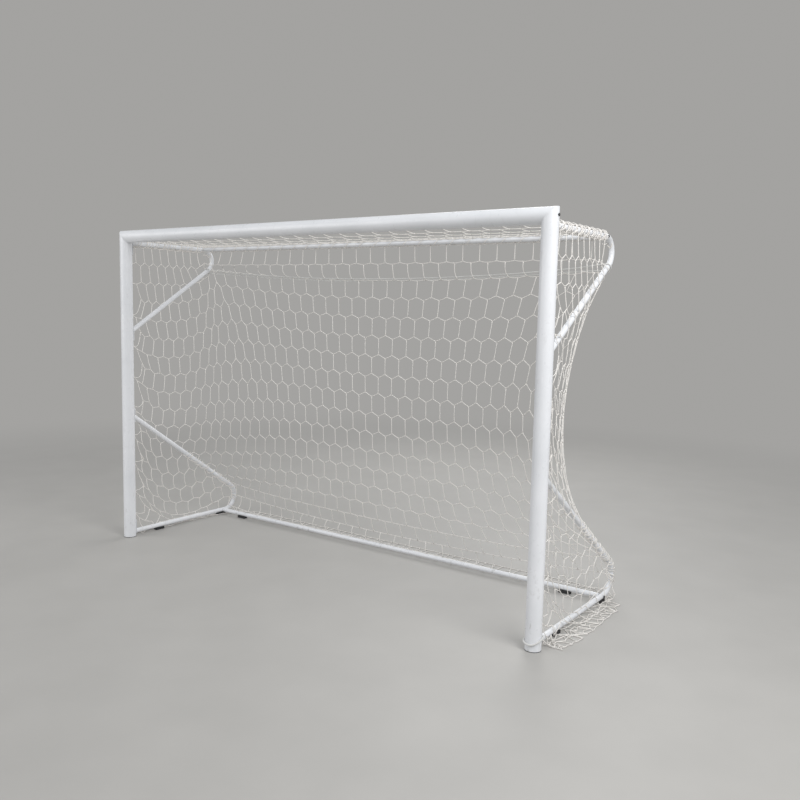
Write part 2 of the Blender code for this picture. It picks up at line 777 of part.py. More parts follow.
def mesh_column(index):
    """Edge of a band or an opening across the back, from 0 to 1."""
    opening = (1.0 - (MESH_ACROSS + 1) * MESH_BAND) / MESH_ACROSS
    return (index // 2) * (opening + MESH_BAND) + (index % 2) * MESH_BAND


def bend_wrap(centre, radius, degrees):
    angle = math.radians(degrees)
    return (centre[0] + radius * math.cos(angle), centre[1] + radius * math.sin(angle))


def back_profiles():
    """Matching rows at the corner and at mid width, from the top to the floor."""
    over = STAY_R + NET_GAP
    chord = math.cos(math.radians(13.0))
    upper = (UPPER_BEND_Y, UPPER_TUBE_Z - UPPER_BEND_R)
    lower = (LOWER_BEND_Y, LOWER_TUBE_Z + LOWER_BEND_R)
    corner = []
    for degrees in (93.0, 72.0, 52.0, 26.0, 2.0):
        y, z = bend_wrap(upper, (UPPER_BEND_R + over) / chord, degrees)
        corner.append((BACK_X, y, z))
    free = [*TOP_ROWS, *mesh_rows(), *FOOT_ROWS]
    corner += [(*corner_at(share), level(share)) for share in free]
    for degrees in (24.0, 0.0, -22.0, -44.0):
        y, z = bend_wrap(lower, (LOWER_BEND_R + over) / chord, degrees)
        corner.append((BACK_X, y, z))
    roll = (BAR_R + 2 * NET_GAP) / math.cos(math.radians(23.0))
    middle = []
    for degrees in (90.0, 45.0, 8.0):
        y, z = bend_wrap((UPPER_BAR_Y, UPPER_TUBE_Z), roll, degrees)
        middle.append((y, z))
    rows = [*MIDDLE_TOP_ROWS, *free, *MIDDLE_FOOT_ROWS]
    middle += [(middle_at(share), level(share)) for share in rows]
    return corner, middle


def corner_share(x, corner_x):
    """How far the net has come off the mid width line towards the corner."""
    return min(1.0, abs(x) / (0.975 * corner_x)) ** 6


def skin(name, columns, rows, place, flip, is_open=None):
    """Open grid bent to shape, then given the net's thickness outward."""
    bm = bmesh.new()
    bmesh.ops.create_grid(bm, x_segments=columns, y_segments=rows, size=0.5)
    if is_open:
        holes = []
        for face in bm.faces:
            middle = face.calc_center_median()
            if is_open(int((middle.x + 0.5) * columns), int((middle.y + 0.5) * rows)):
                holes.append(face)
        bmesh.ops.delete(bm, geom=holes, context="FACES")
    for vert in bm.verts:
        vert.co = place(vert.co.x + 0.5, vert.co.y + 0.5)
    if flip:
        bmesh.ops.reverse_faces(bm, faces=bm.faces)
    mesh = bpy.data.meshes.new(name)
    bm.to_mesh(mesh)
    bm.free()
    obj = cutter(name, mesh)
    solid = obj.modifiers.new("thickness", "SOLIDIFY")
    solid.thickness = NET_T
    solid.offset = 1.0
    solid.use_even_offset = False
    result = evaluated_mesh(obj)
    bpy.data.objects.remove(obj, do_unlink=True)
    return result


BACK_COLUMNS = 2 * MESH_ACROSS + 1
FIRST_MESH_ROW = 5 + len(TOP_ROWS)


def back_is_open(column, row):
    row -= FIRST_MESH_ROW
    return column % 2 == 1 and 0 <= row < 2 * MESH_DOWN and row % 2 == 0


def back_place(u, v):
    corner, middle = back_profiles()
    row = round(v * (len(corner) - 1))
    cx, cy, cz = corner[row]
    my, mz = middle[row]
    across = 2.0 * mesh_column(round(u * BACK_COLUMNS)) - 1.0
    x = cx * (0.6 * across + 0.4 * math.sin(math.pi * across / 2))
    share = corner_share(x, cx)
    return Vector((x, my + (cy - my) * share, mz + (cz - mz) * share))


def top_place(u, v):
    y = NET_FRONT + (UPPER_BEND_Y - 0.012 - NET_FRONT) * v
    x = (2.0 * u - 1.0) * (NET_X - 0.0004)
    low = UPPER_TUBE_Z + STAY_R + 2 * NET_GAP
    return Vector((x, y, low + 0.019 * (1.0 - v) ** 2))


SIDE_ROWS = (1.0058, 0.9949, 0.9772, 0.9594, 0.9391, 0.9289, 0.8883, 0.8223, 0.7462,
             0.6853, 0.6193, 0.4924, 0.4162, 0.3655, 0.2893, 0.2386, 0.1878, 0.1371,
             0.0964, 0.0711, 0.0508, 0.0305, 0.0129)


def between(z, table, column):
    """Straight interpolation in a table that falls with height."""
    if z >= table[0][0]:
        return table[0][column]
    for upper, lower in zip(table, table[1:]):
        if z >= lower[0]:
            share = (upper[0] - z) / (upper[0] - lower[0])
            return upper[column] + share * (lower[column] - upper[column])
    return table[-1][column]


def side_edge(share):
    """Rear edge of the side net: on a bend's outside, or on the free corner line."""
    z = level(share)
    upper_z = UPPER_TUBE_Z - UPPER_BEND_R
    lower_z = LOWER_TUBE_Z + LOWER_BEND_R
    if share > CORNER_LINE[0][0]:
        reach = UPPER_BEND_R + STAY_R - 0.001
        return NET_X, UPPER_BEND_Y + math.sqrt(reach ** 2 - (z - upper_z) ** 2)
    if share < CORNER_LINE[-1][0]:
        reach = LOWER_BEND_R + STAY_R - 0.002
        return NET_X, LOWER_BEND_Y + math.sqrt(reach ** 2 - (z - lower_z) ** 2)
    x, y = corner_at(share)
    return min(NET_X, x + NET_X - BACK_X), y - 0.003


def stay_line(z):
    """Rearmost y where a diagonal still holds the side net out at this height."""
    upper = upper_path()
    lower = lower_path()
    reach = STAY_R / math.cos(UPPER_DROP) + 0.020
    at_upper = PLATE_REAR + (z - upper[-1][2] + reach) / math.tan(UPPER_DROP)
    at_lower = PLATE_REAR + (lower[-1][2] - z + reach) / math.tan(LOWER_RISE)
    return max(PLATE_REAR, min(at_upper, 1.2), min(at_lower, 1.2))


HELD_SHARE = 0.4


def side_place(u, v):
    share = SIDE_ROWS[round(v * (len(SIDE_ROWS) - 1))]
    z = level(share)
    edge_x, edge_y = side_edge(share)
    front = NET_FRONT if z > TIE_TOP else TIE_REAR
    held = max(front + 0.02, min(stay_line(z), edge_y - 0.01))
    if u <= HELD_SHARE:
        return Vector((NET_X, front + (held - front) * u / HELD_SHARE, z))
    free = (u - HELD_SHARE) / (1.0 - HELD_SHARE)
    return Vector((NET_X - (NET_X - edge_x) * free ** 1.5, held + (edge_y - held) * free, z))


def rear_skirt_place(u, v):
    corner, middle = back_profiles()
    x = math.sin(math.pi * (u - 0.5)) * SKIRT_HALF
    share = corner_share(x, BACK_X)
    start = middle[-1][0] + (corner[-1][1] - middle[-1][0]) * share
    last = SKIRT_BACK - NET_T - 0.030 * (x / SKIRT_HALF) ** 2
    fall = ((0.0, 0.0468), (0.10, 0.030), (0.25, 0.012), (0.45, 0.020), (0.65, 0.008),
            (0.85, 0.012), (1.0, 0.0025))
    share_y, z = fall[round(v * (len(fall) - 1))]
    top = middle[-1][1] + (corner[-1][2] - middle[-1][1]) * share - 0.0012
    if v == 0.0:
        z = top
    return Vector((x, start + (last - start) * share_y, z))


SIDE_SKIRT = ((0.0, 0.0545), (0.10, 0.040), (0.11, 0.026), (0.18, 0.010), (0.40, 0.0025),
              (0.70, 0.006), (1.0, 0.0012))


def side_skirt_place(u, v):
    y = SIDE_FOLD_Y[0] + (SIDE_FOLD_Y[1] - SIDE_FOLD_Y[0]) * u
    share, z = SIDE_SKIRT[round(v * (len(SIDE_SKIRT) - 1))]
    swell = math.exp(-((y - SWELL_Y) / SWELL_SPAN) ** 2)
    out = SIDE_FOLD_OUT + (SKIRT_OUT - NET_T - SIDE_FOLD_OUT) * swell
    start = NET_X + SEAT_GAP
    bolt_side = start + SIDE_FOLD_STEP
    if share == 0.0:
        x = start
    else:
        x = bolt_side + (out - bolt_side) * (share - 0.10) / 0.90
    return Vector((x, y, z))


def build_net():
    top = skin("net_top", 14, 4, top_place, False)
    finish("net_top", top, CORD, 0.9, 0.0)
    back = skin("net_back", BACK_COLUMNS, len(back_profiles()[0]) - 1, back_place, False,
                back_is_open)
    finish("net_back", back, CORD, 0.9, 0.0)
    side = skin("side_net", 10, len(SIDE_ROWS) - 1, side_place, True)
    clear = along_x(cylinder_mesh("bolt_clear", HEAD_R + 0.002, 0.040, 16),
                    (POST_X + STAY_R, UPPER_BAR_Y, UPPER_TUBE_Z))
    loop = along_x(cylinder_mesh("loop_clear", STAY_R + 2 * ROPE_R, 0.040, 16),
                   (POST_X + STAY_R, ROPE_Y, rope_height(POST_X)))
    side = with_booleans("net_side", side, [("DIFFERENCE", clear), ("DIFFERENCE", loop)])
    both_sides("net_side", side, CORD, 0.9, 0.0)
    skirt = skin("net_rear_skirt", 20, 6, rear_skirt_place, False)
    finish("net_rear_skirt", skirt, CORD, 0.9, 0.0)
    skirt = skin("net_skirt", 12, 6, side_skirt_place, True)
    both_sides("net_skirt", skirt, CORD, 0.9, 0.0)


build_frame()
build_stays()
build_rear_bars()
build_pads()
build_hooks()
build_ropes()
build_net()
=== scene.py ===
"""Looks for the futsal goal: painted tubes, fittings, and a twine net that hangs on them.

Every size is in metres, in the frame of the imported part. The net is a lattice of hexagons that is
hung on the frame, let fall under gravity, and then drawn as round twine.
"""

import math

import bpy
import numpy as np
from mathutils import Matrix, Vector


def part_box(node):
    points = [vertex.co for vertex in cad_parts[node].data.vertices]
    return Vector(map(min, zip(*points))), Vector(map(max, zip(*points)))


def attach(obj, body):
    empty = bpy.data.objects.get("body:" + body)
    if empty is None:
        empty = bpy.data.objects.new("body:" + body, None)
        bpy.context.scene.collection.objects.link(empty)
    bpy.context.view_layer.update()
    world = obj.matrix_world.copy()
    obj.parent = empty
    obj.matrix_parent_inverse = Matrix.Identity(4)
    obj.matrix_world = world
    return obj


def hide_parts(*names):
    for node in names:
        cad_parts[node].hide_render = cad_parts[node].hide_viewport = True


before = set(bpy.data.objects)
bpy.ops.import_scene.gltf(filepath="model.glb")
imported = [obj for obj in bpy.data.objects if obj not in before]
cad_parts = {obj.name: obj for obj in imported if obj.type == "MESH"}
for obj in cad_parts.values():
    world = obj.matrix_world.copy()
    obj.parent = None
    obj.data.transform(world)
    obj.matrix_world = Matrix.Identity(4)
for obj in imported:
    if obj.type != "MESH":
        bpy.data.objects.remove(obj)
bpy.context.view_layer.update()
BODY = "root"

# Sizes taken from the frame


def middle(node):
    """Centre of a node's box."""
    low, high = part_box(node)
    return (Vector(low) + Vector(high)) / 2


def half_size(node):
    """Half of a node's box."""
    low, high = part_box(node)
    return (Vector(high) - Vector(low)) / 2


POST_X = abs(middle("left_post").x)
POST_R = half_size("left_post").x
FRONT = middle("left_post").y
BAR_Z = middle("crossbar").z
STAY_R = half_size("left_upper_stay").x
REAR_BAR_R = half_size("upper_rear_bar").z
UPPER_TUBE_Z = middle("upper_rear_bar").z
LOWER_TUBE_Z = middle("lower_rear_bar").z
UPPER_BAR_Y = middle("upper_rear_bar").y - FRONT
LOWER_BAR_Y = middle("lower_rear_bar").y - FRONT

# Bends of the two stays, as the bent tubes run in the part. Depth is measured back from the posts,
# and each bend's centre lies a little behind its rear bar.
UPPER_SLOPE = math.radians(33.0)
LOWER_SLOPE = math.radians(35.0)
UPPER_BEND_R = 0.080
LOWER_BEND_R = 0.100
UPPER_BEND_BEHIND = 0.010
LOWER_BEND_BEHIND = 0.025
UPPER_BEND = (UPPER_BAR_Y + UPPER_BEND_BEHIND, UPPER_TUBE_Z - UPPER_BEND_R)
LOWER_BEND = (LOWER_BAR_Y + LOWER_BEND_BEHIND, LOWER_TUBE_Z + LOWER_BEND_R)
ARC_PARTS = 7

# Hooks that carry the net: heights on the posts, pitch on the crossbar, depth, and how far over
# a post's hook the net lies.
POST_HOOK_Z = (1.870, 1.730, 1.516, 1.313, 1.101, 0.898, 0.695, 0.509, 0.305, 0.150)
BAR_HOOK_PITCH = 0.115
HOOK_DEPTH = 0.043
HOOK_RISE = 0.008

# Tension rope between the stays, which carries the net's third row of knots. The net is clipped to
# it a little lower on the right than on the left.
ROPE_Y = 0.700
ROPE_SAG = 0.066
ROPE_TILT = 0.012

# Net lattice

TOP_PIECE = "net_top_twine"
BACK_PIECE = "net_back_twine"
SIDE_PIECES = {-1: "left_net_side_twine", 1: "right_net_side_twine"}

SIDE_COLUMNS = 18
BACK_COLUMNS = 54
COLUMNS = 2 * SIDE_COLUMNS + BACK_COLUMNS
MIDDLE = COLUMNS // 2
ROWS = 21
SIDE_ROWS = 23
TOP_ROWS = 6
ROPE_ROW = 2
SEED = 4

# Lengths of the strands. A slanted one is drawn to its first length and can't pass its second. From
# row 7 down they change to their lower lengths, and from row 13 on they keep them. In the back, the
# slanted ones down to the rope are taut.
UPRIGHT_SIDE = 0.1065
UPRIGHT_SIDE_LOW = 0.0860
UPRIGHT_CORNER = 0.1030
UPRIGHT_BACK = 0.0995
UPRIGHT_TOP = 0.0955
SLANT_SIDE = (0.0385, 0.0430)
SLANT_SIDE_LOW = (0.0520, 0.0585)
SLANT_BACK = (0.0549, 0.0578)
SLANT_BACK_LOW = (0.0552, 0.0578)
SLANT_TAUT = 0.0570
SLANT_TOP = 0.0578
CHANGE_FROM, CHANGE_OVER = 7, 6.0
SLANT_PARTS, UPRIGHT_PARTS = 2, 4

# Twine and lacing, and how near a tube's surface the middle of the twine can come.
TWINE_R = 0.0021
KNOT_R = 0.0032
LACE_R = 0.0021
CONTACT = 0.0045

# Height, width and depth that the net's back corner starts from, and its middle's height and depth.
CORNER_LINE = (
    (2.00, 1.5575, 0.715),
    (1.92, 1.5575, 0.768),
    (1.82, 1.530, 0.735),
    (1.50, 1.444, 0.615),
    (1.00, 1.380, 0.605),
    (0.50, 1.440, 0.740),
    (0.20, 1.555, 0.972),
    (0.02, 1.560, 0.960),
)
MIDDLE_LINE = (
    (2.02, 0.657),
    (1.78, 0.708),
    (1.50, 0.625),
    (1.00, 0.600),
    (0.50, 0.685),
    (0.17, 0.815),
    (0.00, 0.875),
)

# Rows of the corner columns that are tied inside the upper bends: left place, then right place.
CORNER_PINS = {
    0: ((1.5235, 0.642, 1.985), (1.5235, 0.642, 1.985)),
    1: ((1.5235, 0.664, 1.905), (1.5235, 0.650, 1.868)),
    2: ((1.5350, 0.722, 1.847), (1.5350, 0.702, 1.819)),
}

# Rows of the corner columns that lie round the lower bends, and where, in degrees from level.
BEND_ROWS = {15: 48.0, 16: -5.0, 17: -55.0}
BEND_OUT = 0.006

# Side net: its first row's places on the top stay, and the rows that are tied to the post. The two
# angles are those of a row's lower knots and of its upper ones.
SEAT_ANGLES = (-55.0, -10.0)
SEAT_START, SEAT_RUN = 0.049, 0.603
POST_TIE_ROWS = (0, 1, *range(2, ROWS, 2))
POST_TIE_Z = (2.0, 1.864, *[height + HOOK_RISE for height in POST_HOOK_Z[1:]], 0.06)
POST_TIE_OUT = 0.0015

# Side net away from the post: how its rows fall, how soon behind the post they do so, and how far
# each row's knots lie above and below its middle. The back pulls the side in where no stay holds it
# out, which is between two heights at the post.
SIDE_TOP_Z = 2.008
SIDE_FALL, SIDE_FALL_LOW, SIDE_FALL_ROWS = 0.130, 0.096, 8
FALL_RISE, SCALLOP_RISE = 3.0, 8
SCALLOP = 0.012
SIDE_FRONT_Y = 0.046
SIDE_OUT = 0.0195
FREE_TOP_Z, FREE_LOW_Z = 1.3675, 0.883
HELD_FROM = 0.05
PULL_POWER = 1.5

# Side net on the floor: how far out each further row starts, what share of that it keeps at each
# depth, and how loosely the rows lie.
SIDE_FLOOR_Z = 0.02
SPILL_OUT = 0.028
SPILL_STEPS = (0.0, 0.042, 0.076, 0.034, 0.072)
SPILL_SPREAD = ((0.0, 0.14, 0.40, 0.60, 0.75, 0.87), (0.10, 0.60, 1.0, 0.70, 0.15, 0.0))
SPILL_DEPTH = 0.90
SPILL_Z, SPILL_LAYER, SPILL_LOOSE = 0.016, 0.009, 0.004
SPILL_SCATTER_X, SPILL_SCATTER_Y = 0.006, 0.01

# Back net: the rows that are tied, how the others fall in the middle and at the corners, and how
# near the corners the corner's line takes over. On the rope, a row's lower knots come before its
# upper ones.
BAR_HALF = 1.520
BAR_SEAT_Y, BAR_SEAT_Z = 0.010, -0.0155
ROPE_HALF = 1.530
ROPE_RISE = (-0.005, 0.002)
FIRST_MIDDLE_Z, FIRST_CORNER_Z, FIRST_Y = 1.9, 1.87, 0.682
MIDDLE_Z, MIDDLE_FALL = 1.785, 0.1155
CORNER_Z, CORNER_FALL = 1.80, 0.118
CORNER_FROM, CORNER_POWER = 0.985, 8
FIRST_ROW_END = 0.97

# Back net on the floor: depths of its rows, and how loosely they lie.
BACK_LOW_Z, BACK_FLOOR_Z = 0.03, 0.04
HEAP_Y = ((0.0, 1.0, 2.0, 3.0), (0.872, 0.955, 1.020, 1.000))
HEAP_SCATTER, HEAP_CORNER = 0.012, 0.03
HEAP_Z, HEAP_LOOSE, HEAP_LAYER = 0.02, 0.018, 0.01

# Top panel: its rows' depths and fall, its edges on the top stays, and its last row on the bar.
TOP_START, TOP_PITCH = 0.1405, 0.101
TOP_FALL = 0.0215
TOP_EDGE_OUT, TOP_EDGE_RISE = 0.0115, 0.0185
TOP_LAST_Y, TOP_LAST_RISE = -0.009, 0.0165
HOOK_ASIDE = 0.0055

# Lacing. Each winding is (phase, turns), and lies a little further out the larger its phase. A
# lower stay is wrapped from a share of its slope down to a point of its bend, which is numbered.
STAY_LACING = ((0.0, 12.0), (2.2, 8.0), (4.1, 8.0))
STAY_LACING_Y = (0.058, 0.640)
STAY_LACING_OUT, STAY_LACING_STEP, STAY_LACING_RISE = 0.0050, 0.001, 0.004
TIE_LOOP = ((0.716, 1.970), (0.722, 1.962))
TIE_TURNS, TIE_OUT = 2.0, 0.003
TIE_CORNER = (1.5245, 0.648, 1.962)
TIE_BETWEEN = (1.527, 0.680, 1.960)
WRAP_SHARE, WRAP_LAST = 0.5, 3
WRAPS = ((0.4, 11.0), (2.6, 8.0), (4.4, 9.5))
WRAP_OUT, WRAP_STEP = 0.0035, 0.0006
BAR_LACING_OUT = 0.0035
LOOSE_POWER = 4
POINTS_PER_TURN = 10


def arc(centre, radius, start, end):
    """Points on an arc in the side view, as depth and height."""
    angles = np.linspace(start, end, ARC_PARTS + 1)
    return [(centre[0] + radius * math.cos(a), centre[1] + radius * math.sin(a)) for a in angles]


def stay_lines():
    """Centre lines of the upper and the lower stay in the side view, from post to post."""
    upper = [(POST_R, UPPER_TUBE_Z)]
    upper += arc(UPPER_BEND, UPPER_BEND_R, math.pi / 2, UPPER_SLOPE - math.pi / 2)
    y, z = upper[-1]
    upper.append((POST_R, z - (y - POST_R) * math.tan(UPPER_SLOPE)))
    lower = [(POST_R, LOWER_TUBE_Z)]
    lower += arc(LOWER_BEND, LOWER_BEND_R, -math.pi / 2, math.pi / 2 - LOWER_SLOPE)
    y, z = lower[-1]
    lower.append((POST_R, z + (y - POST_R) * math.tan(LOWER_SLOPE)))
    return upper, lower


def frame_tubes():
    """Every tube the net can touch, as (start, end, radius, outward direction or None)."""
    tubes = []
    for line in stay_lines():
        for (y0, z0), (y1, z1) in zip(line, line[1:]):
            for side in (-1, 1):
                x = side * POST_X
                tubes.append(((x, y0, z0), (x, y1, z1), STAY_R, (side, 0, 0)))
    for y, z in ((UPPER_BAR_Y, UPPER_TUBE_Z), (LOWER_BAR_Y, LOWER_TUBE_Z)):
        tubes.append(((-POST_X, y, z), (POST_X, y, z), REAR_BAR_R, None))
    for side in (-1, 1):
        tubes.append(((side * POST_X, 0, 0), (side * POST_X, 0, BAR_Z), POST_R, None))
    tubes.append(((-POST_X, 0, BAR_Z), (POST_X, 0, BAR_Z), POST_R, None))
    return tubes


def rope_height(x):
    """Height of the tension rope, which sags between the stays."""
    upper, _ = stay_lines()
    (y0, z0), (y1, z1) = upper[-2], upper[-1]
    end = z0 + (ROPE_Y - y0) / (y1 - y0) * (z1 - z0)
    return end - ROPE_SAG * (1 - (x / POST_X) ** 2) - ROPE_TILT * x


def along(z, line, column):
    """One value of a line at the height z."""
    heights = [row[0] for row in reversed(line)]
    values = [row[column] for row in reversed(line)]
    return float(np.interp(z, heights, values))


class Lattice:
    """Particles, the pinned ones' places, and the strands of twine between knots."""

    def __init__(self):
        self.places, self.pinned, self.links, self.strands = [], {}, [], {}
        self.taut, self.laces = set(), {}

    def add(self, place, pinned=False):
        """Adds a particle and returns its number."""
        self.places.append(tuple(place))
        if pinned:
            self.pinned[len(self.places) - 1] = tuple(place)
        return len(self.places) - 1

    def strand(self, piece, a, b, soft, hard, parts):
        """Twine from knot a to knot b, drawn to its soft length and no longer than its hard one."""
        start, end = np.array(self.places[a]), np.array(self.places[b])
        inner = [self.add(start + (end - start) * i / parts) for i in range(1, parts)]
        ids = [a, *inner, b]
        for i, j in zip(ids, ids[1:]):
            self.links.append((i, j, soft / parts, hard / parts))
        self.strands.setdefault(piece, []).append(ids)

    def lace(self, piece, points):
        """Twine that is wound round a tube and doesn't move."""
        self.laces.setdefault(piece, []).append(np.array(points))


def side_place(net, row, column, rng):
    """A knot of a side net."""
    side = -1 if column < MIDDLE else 1
    share = (column if side < 0 else COLUMNS - column) / SIDE_COLUMNS
    up = (column - MIDDLE + row) % 2 == 1
    if row == 0:
        angle = math.radians(SEAT_ANGLES[up])
        reach = STAY_R + CONTACT
        x, z = POST_X + reach * math.cos(angle), UPPER_TUBE_Z + reach * math.sin(angle)
        return net.add((side * x, SEAT_START + SEAT_RUN * share, z), True)
    at_post = np.interp(row, POST_TIE_ROWS, POST_TIE_Z)
    if share == 0 and row in POST_TIE_ROWS:
        return net.add((side * (POST_X + POST_TIE_OUT), HOOK_DEPTH, at_post), True)
    high_rows, low_rows = min(row, SIDE_FALL_ROWS), max(0, row - SIDE_FALL_ROWS)
    away = SIDE_TOP_Z - SIDE_FALL * high_rows - SIDE_FALL_LOW * low_rows
    z = at_post + (away - at_post) * min(1.0, share * FALL_RISE)
    z += (SCALLOP if up else -SCALLOP) * min(1.0, share * SCALLOP_RISE)
    height = max(z, SIDE_FLOOR_Z)
    corner_x, corner_y = along(height, CORNER_LINE, 1), along(height, CORNER_LINE, 2)
    y = SIDE_FRONT_Y + (corner_y - SIDE_FRONT_Y) * share
    x = POST_X + SIDE_OUT
    under_upper = POST_R + (height - FREE_TOP_Z) / math.tan(UPPER_SLOPE)
    over_lower = POST_R + (FREE_LOW_Z - height) / math.tan(LOWER_SLOPE)
    held = max(HELD_FROM, under_upper, over_lower)
    if held < y and held < corner_y:
        x -= (x - corner_x) * ((y - held) / (corner_y - held)) ** PULL_POWER
    if z < SIDE_FLOOR_Z:
        fold = min(int((SIDE_FLOOR_Z - z) / SIDE_FALL_LOW), len(SPILL_STEPS) - 1)
        y *= SPILL_DEPTH
        spread = float(np.interp(y, *SPILL_SPREAD)) * SPILL_STEPS[fold]
        x = POST_X + SPILL_OUT + spread + SPILL_SCATTER_X * rng.standard_normal()
        z = SPILL_Z + SPILL_LAYER * fold + SPILL_LOOSE * rng.random()
        y += SPILL_SCATTER_Y * rng.standard_normal()
    return net.add((side * x, y, z))


def back_place(net, row, column, rng):
    """A knot of the back net."""
    across = (column - MIDDLE) / (BACK_COLUMNS / 2)
    up = (column - MIDDLE + row) % 2 == 1
    if abs(across) == 1.0 and row in CORNER_PINS:
        x, y, z = CORNER_PINS[row][across > 0]
        return net.add((across * x, y, z), True)
    if row == 0:
        y, z = UPPER_BAR_Y + BAR_SEAT_Y, UPPER_TUBE_Z + BAR_SEAT_Z
        return net.add((BAR_HALF * across, y, z), True)
    if row == ROPE_ROW:
        x = ROPE_HALF * across
        return net.add((x, ROPE_Y, rope_height(x) + ROPE_RISE[up]), True)
    if abs(across) == 1.0 and row in BEND_ROWS:
        angle = math.radians(BEND_ROWS[row])
        reach = LOWER_BEND_R + STAY_R + CONTACT
        y, z = LOWER_BEND[0] + reach * math.cos(angle), LOWER_BEND[1] + reach * math.sin(angle)
        return net.add((math.copysign(POST_X + BEND_OUT, across), y, z), True)
    below = row - ROPE_ROW
    mid, corner = MIDDLE_Z - MIDDLE_FALL * below, CORNER_Z - CORNER_FALL * below
    if row == 1:
        mid, corner = FIRST_MIDDLE_Z, FIRST_CORNER_Z
    near_corner = min(1.0, abs(across) / CORNER_FROM) ** CORNER_POWER
    z = mid + (corner - mid) * near_corner + (SCALLOP if up else -SCALLOP)
    height = max(z, BACK_LOW_Z)
    x = along(height, CORNER_LINE, 1) * across
    y = along(height, MIDDLE_LINE, 1)
    y += (along(height, CORNER_LINE, 2) - y) * near_corner
    if z < BACK_FLOOR_Z:
        fold = (BACK_FLOOR_Z - z) / MIDDLE_FALL
        y = float(np.interp(fold, *HEAP_Y))
        y += HEAP_SCATTER * rng.standard_normal() + HEAP_CORNER * near_corner
        z = HEAP_Z + HEAP_LOOSE * rng.random() + HEAP_LAYER * fold
    if row == 1 and abs(across) < FIRST_ROW_END:
        y = FIRST_Y
    return net.add((x, y, z))


def piece_of(column):
    """The piece of the net that the twine from this column to the next belongs to."""
    if column < SIDE_COLUMNS:
        return SIDE_PIECES[-1]
    return BACK_PIECE if column < COLUMNS - SIDE_COLUMNS else SIDE_PIECES[1]


def slant_lengths(row, in_back):
    """Drawn and longest length of a slanted strand in this row."""
    if row <= ROPE_ROW and in_back:
        return SLANT_TAUT, SLANT_TAUT
    high_row = SLANT_BACK if in_back else SLANT_SIDE
    low_row = SLANT_BACK_LOW if in_back else SLANT_SIDE_LOW
    low = lowness(row)
    return [a + low * (b - a) for a, b in zip(high_row, low_row)]


def upright_length(row, column):
    """Length of the upright strand under this knot."""
    into_back = min(column, COLUMNS - column) - SIDE_COLUMNS
    if into_back == 0:
        return UPRIGHT_CORNER
    if into_back > 0:
        return UPRIGHT_BACK
    return UPRIGHT_SIDE + lowness(row) * (UPRIGHT_SIDE_LOW - UPRIGHT_SIDE)


def lowness(row):
    """0 in the upper rows and 1 in the lower ones."""
    return min(1.0, max(0.0, (row - CHANGE_FROM) / CHANGE_OVER))


def build_lattice():
    """Knots in rows round the goal, with the top panel between the crossbar and the rear bar."""
    rng = np.random.default_rng(SEED)
    net = Lattice()
    knots = {}
    for row in range(SIDE_ROWS):
        for column in range(COLUMNS + 1):
            in_side = column < SIDE_COLUMNS or column > COLUMNS - SIDE_COLUMNS
            if in_side or row < ROWS:
                place = side_place if in_side else back_place
                knots[row, column] = place(net, row, column, rng)
    for row, column in knots:
        if (row, column + 1) in knots:
            lengths = slant_lengths(row, SIDE_COLUMNS <= column < COLUMNS - SIDE_COLUMNS)
            ends = knots[row, column], knots[row, column + 1]
            net.strand(piece_of(column), *ends, *lengths, SLANT_PARTS)
    for row, column in knots:
        if (row + 1, column) in knots and (column - MIDDLE + row) % 2 == 0:
            length = upright_length(row, column)
            ends = knots[row, column], knots[row + 1, column]
            net.strand(piece_of(column), *ends, length, length, UPRIGHT_PARTS)
    build_top(net)
    build_laces(net)
    return net


def build_top(net):
    """The top panel, from the crossbar's hooks to the upper rear bar."""
    columns = range(SIDE_COLUMNS, COLUMNS - SIDE_COLUMNS + 1)
    edges = (columns[0], columns[-1])
    slant = (SLANT_TOP, SLANT_TOP, SLANT_PARTS)
    upright = (UPRIGHT_TOP, UPRIGHT_TOP, UPRIGHT_PARTS)
    first = len(net.places)
    half = BAR_HOOK_PITCH / 2
    top = {}
    for row in range(1, TOP_ROWS + 1):
        y = TOP_START + TOP_PITCH * (row - 1)
        for column in columns:
            x = half * (column - MIDDLE)
            z = BAR_Z - TOP_FALL * (y - HOOK_DEPTH) / (UPPER_BAR_Y - HOOK_DEPTH)
            if row == TOP_ROWS:
                x = BAR_HALF * (column - MIDDLE) / (BACK_COLUMNS / 2)
                y, z = UPPER_BAR_Y + TOP_LAST_Y, UPPER_TUBE_Z + TOP_LAST_RISE
            elif column in edges:
                x, z = math.copysign(POST_X + TOP_EDGE_OUT, x), UPPER_TUBE_Z + TOP_EDGE_RISE
            top[row, column] = net.add((x, y, z), column in edges or row == TOP_ROWS)
    for column in columns:
        if (column - MIDDLE) % 2 == 0:
            place = (half * (column - MIDDLE) + HOOK_ASIDE, HOOK_DEPTH, BAR_Z)
            net.strand(TOP_PIECE, net.add(place, True), top[1, column], *upright)
    for row in range(1, TOP_ROWS + 1):
        for column in columns[:-1]:
            net.strand(TOP_PIECE, top[row, column], top[row, column + 1], *slant)
        for column in columns:
            if row < TOP_ROWS and (column - MIDDLE + row) % 2 == 0:
                net.strand(TOP_PIECE, top[row, column], top[row + 1, column], *upright)
    net.taut.update(range(first, len(net.places)))


def winding(start, end, reach, turns, phase, rise=0.0):
    """Points of a cord that winds round a straight tube, loose by rise above it."""
    start, end = np.array(start), np.array(end)
    along_tube = (end - start) / np.linalg.norm(end - start)
    level = np.cross(along_tube, (0.0, 0.0, 1.0))
    t = np.linspace(0.0, 1.0, int(turns * POINTS_PER_TURN) + 1)
    angle = 2 * math.pi * turns * t + phase
    radius = reach + rise * np.maximum(0.0, np.sin(angle)) ** LOOSE_POWER
    spine = start + (end - start) * t[:, None]
    aside = level * np.cos(angle)[:, None] + np.array([0.0, 0.0, 1.0]) * np.sin(angle)[:, None]
    return spine + aside * radius[:, None]


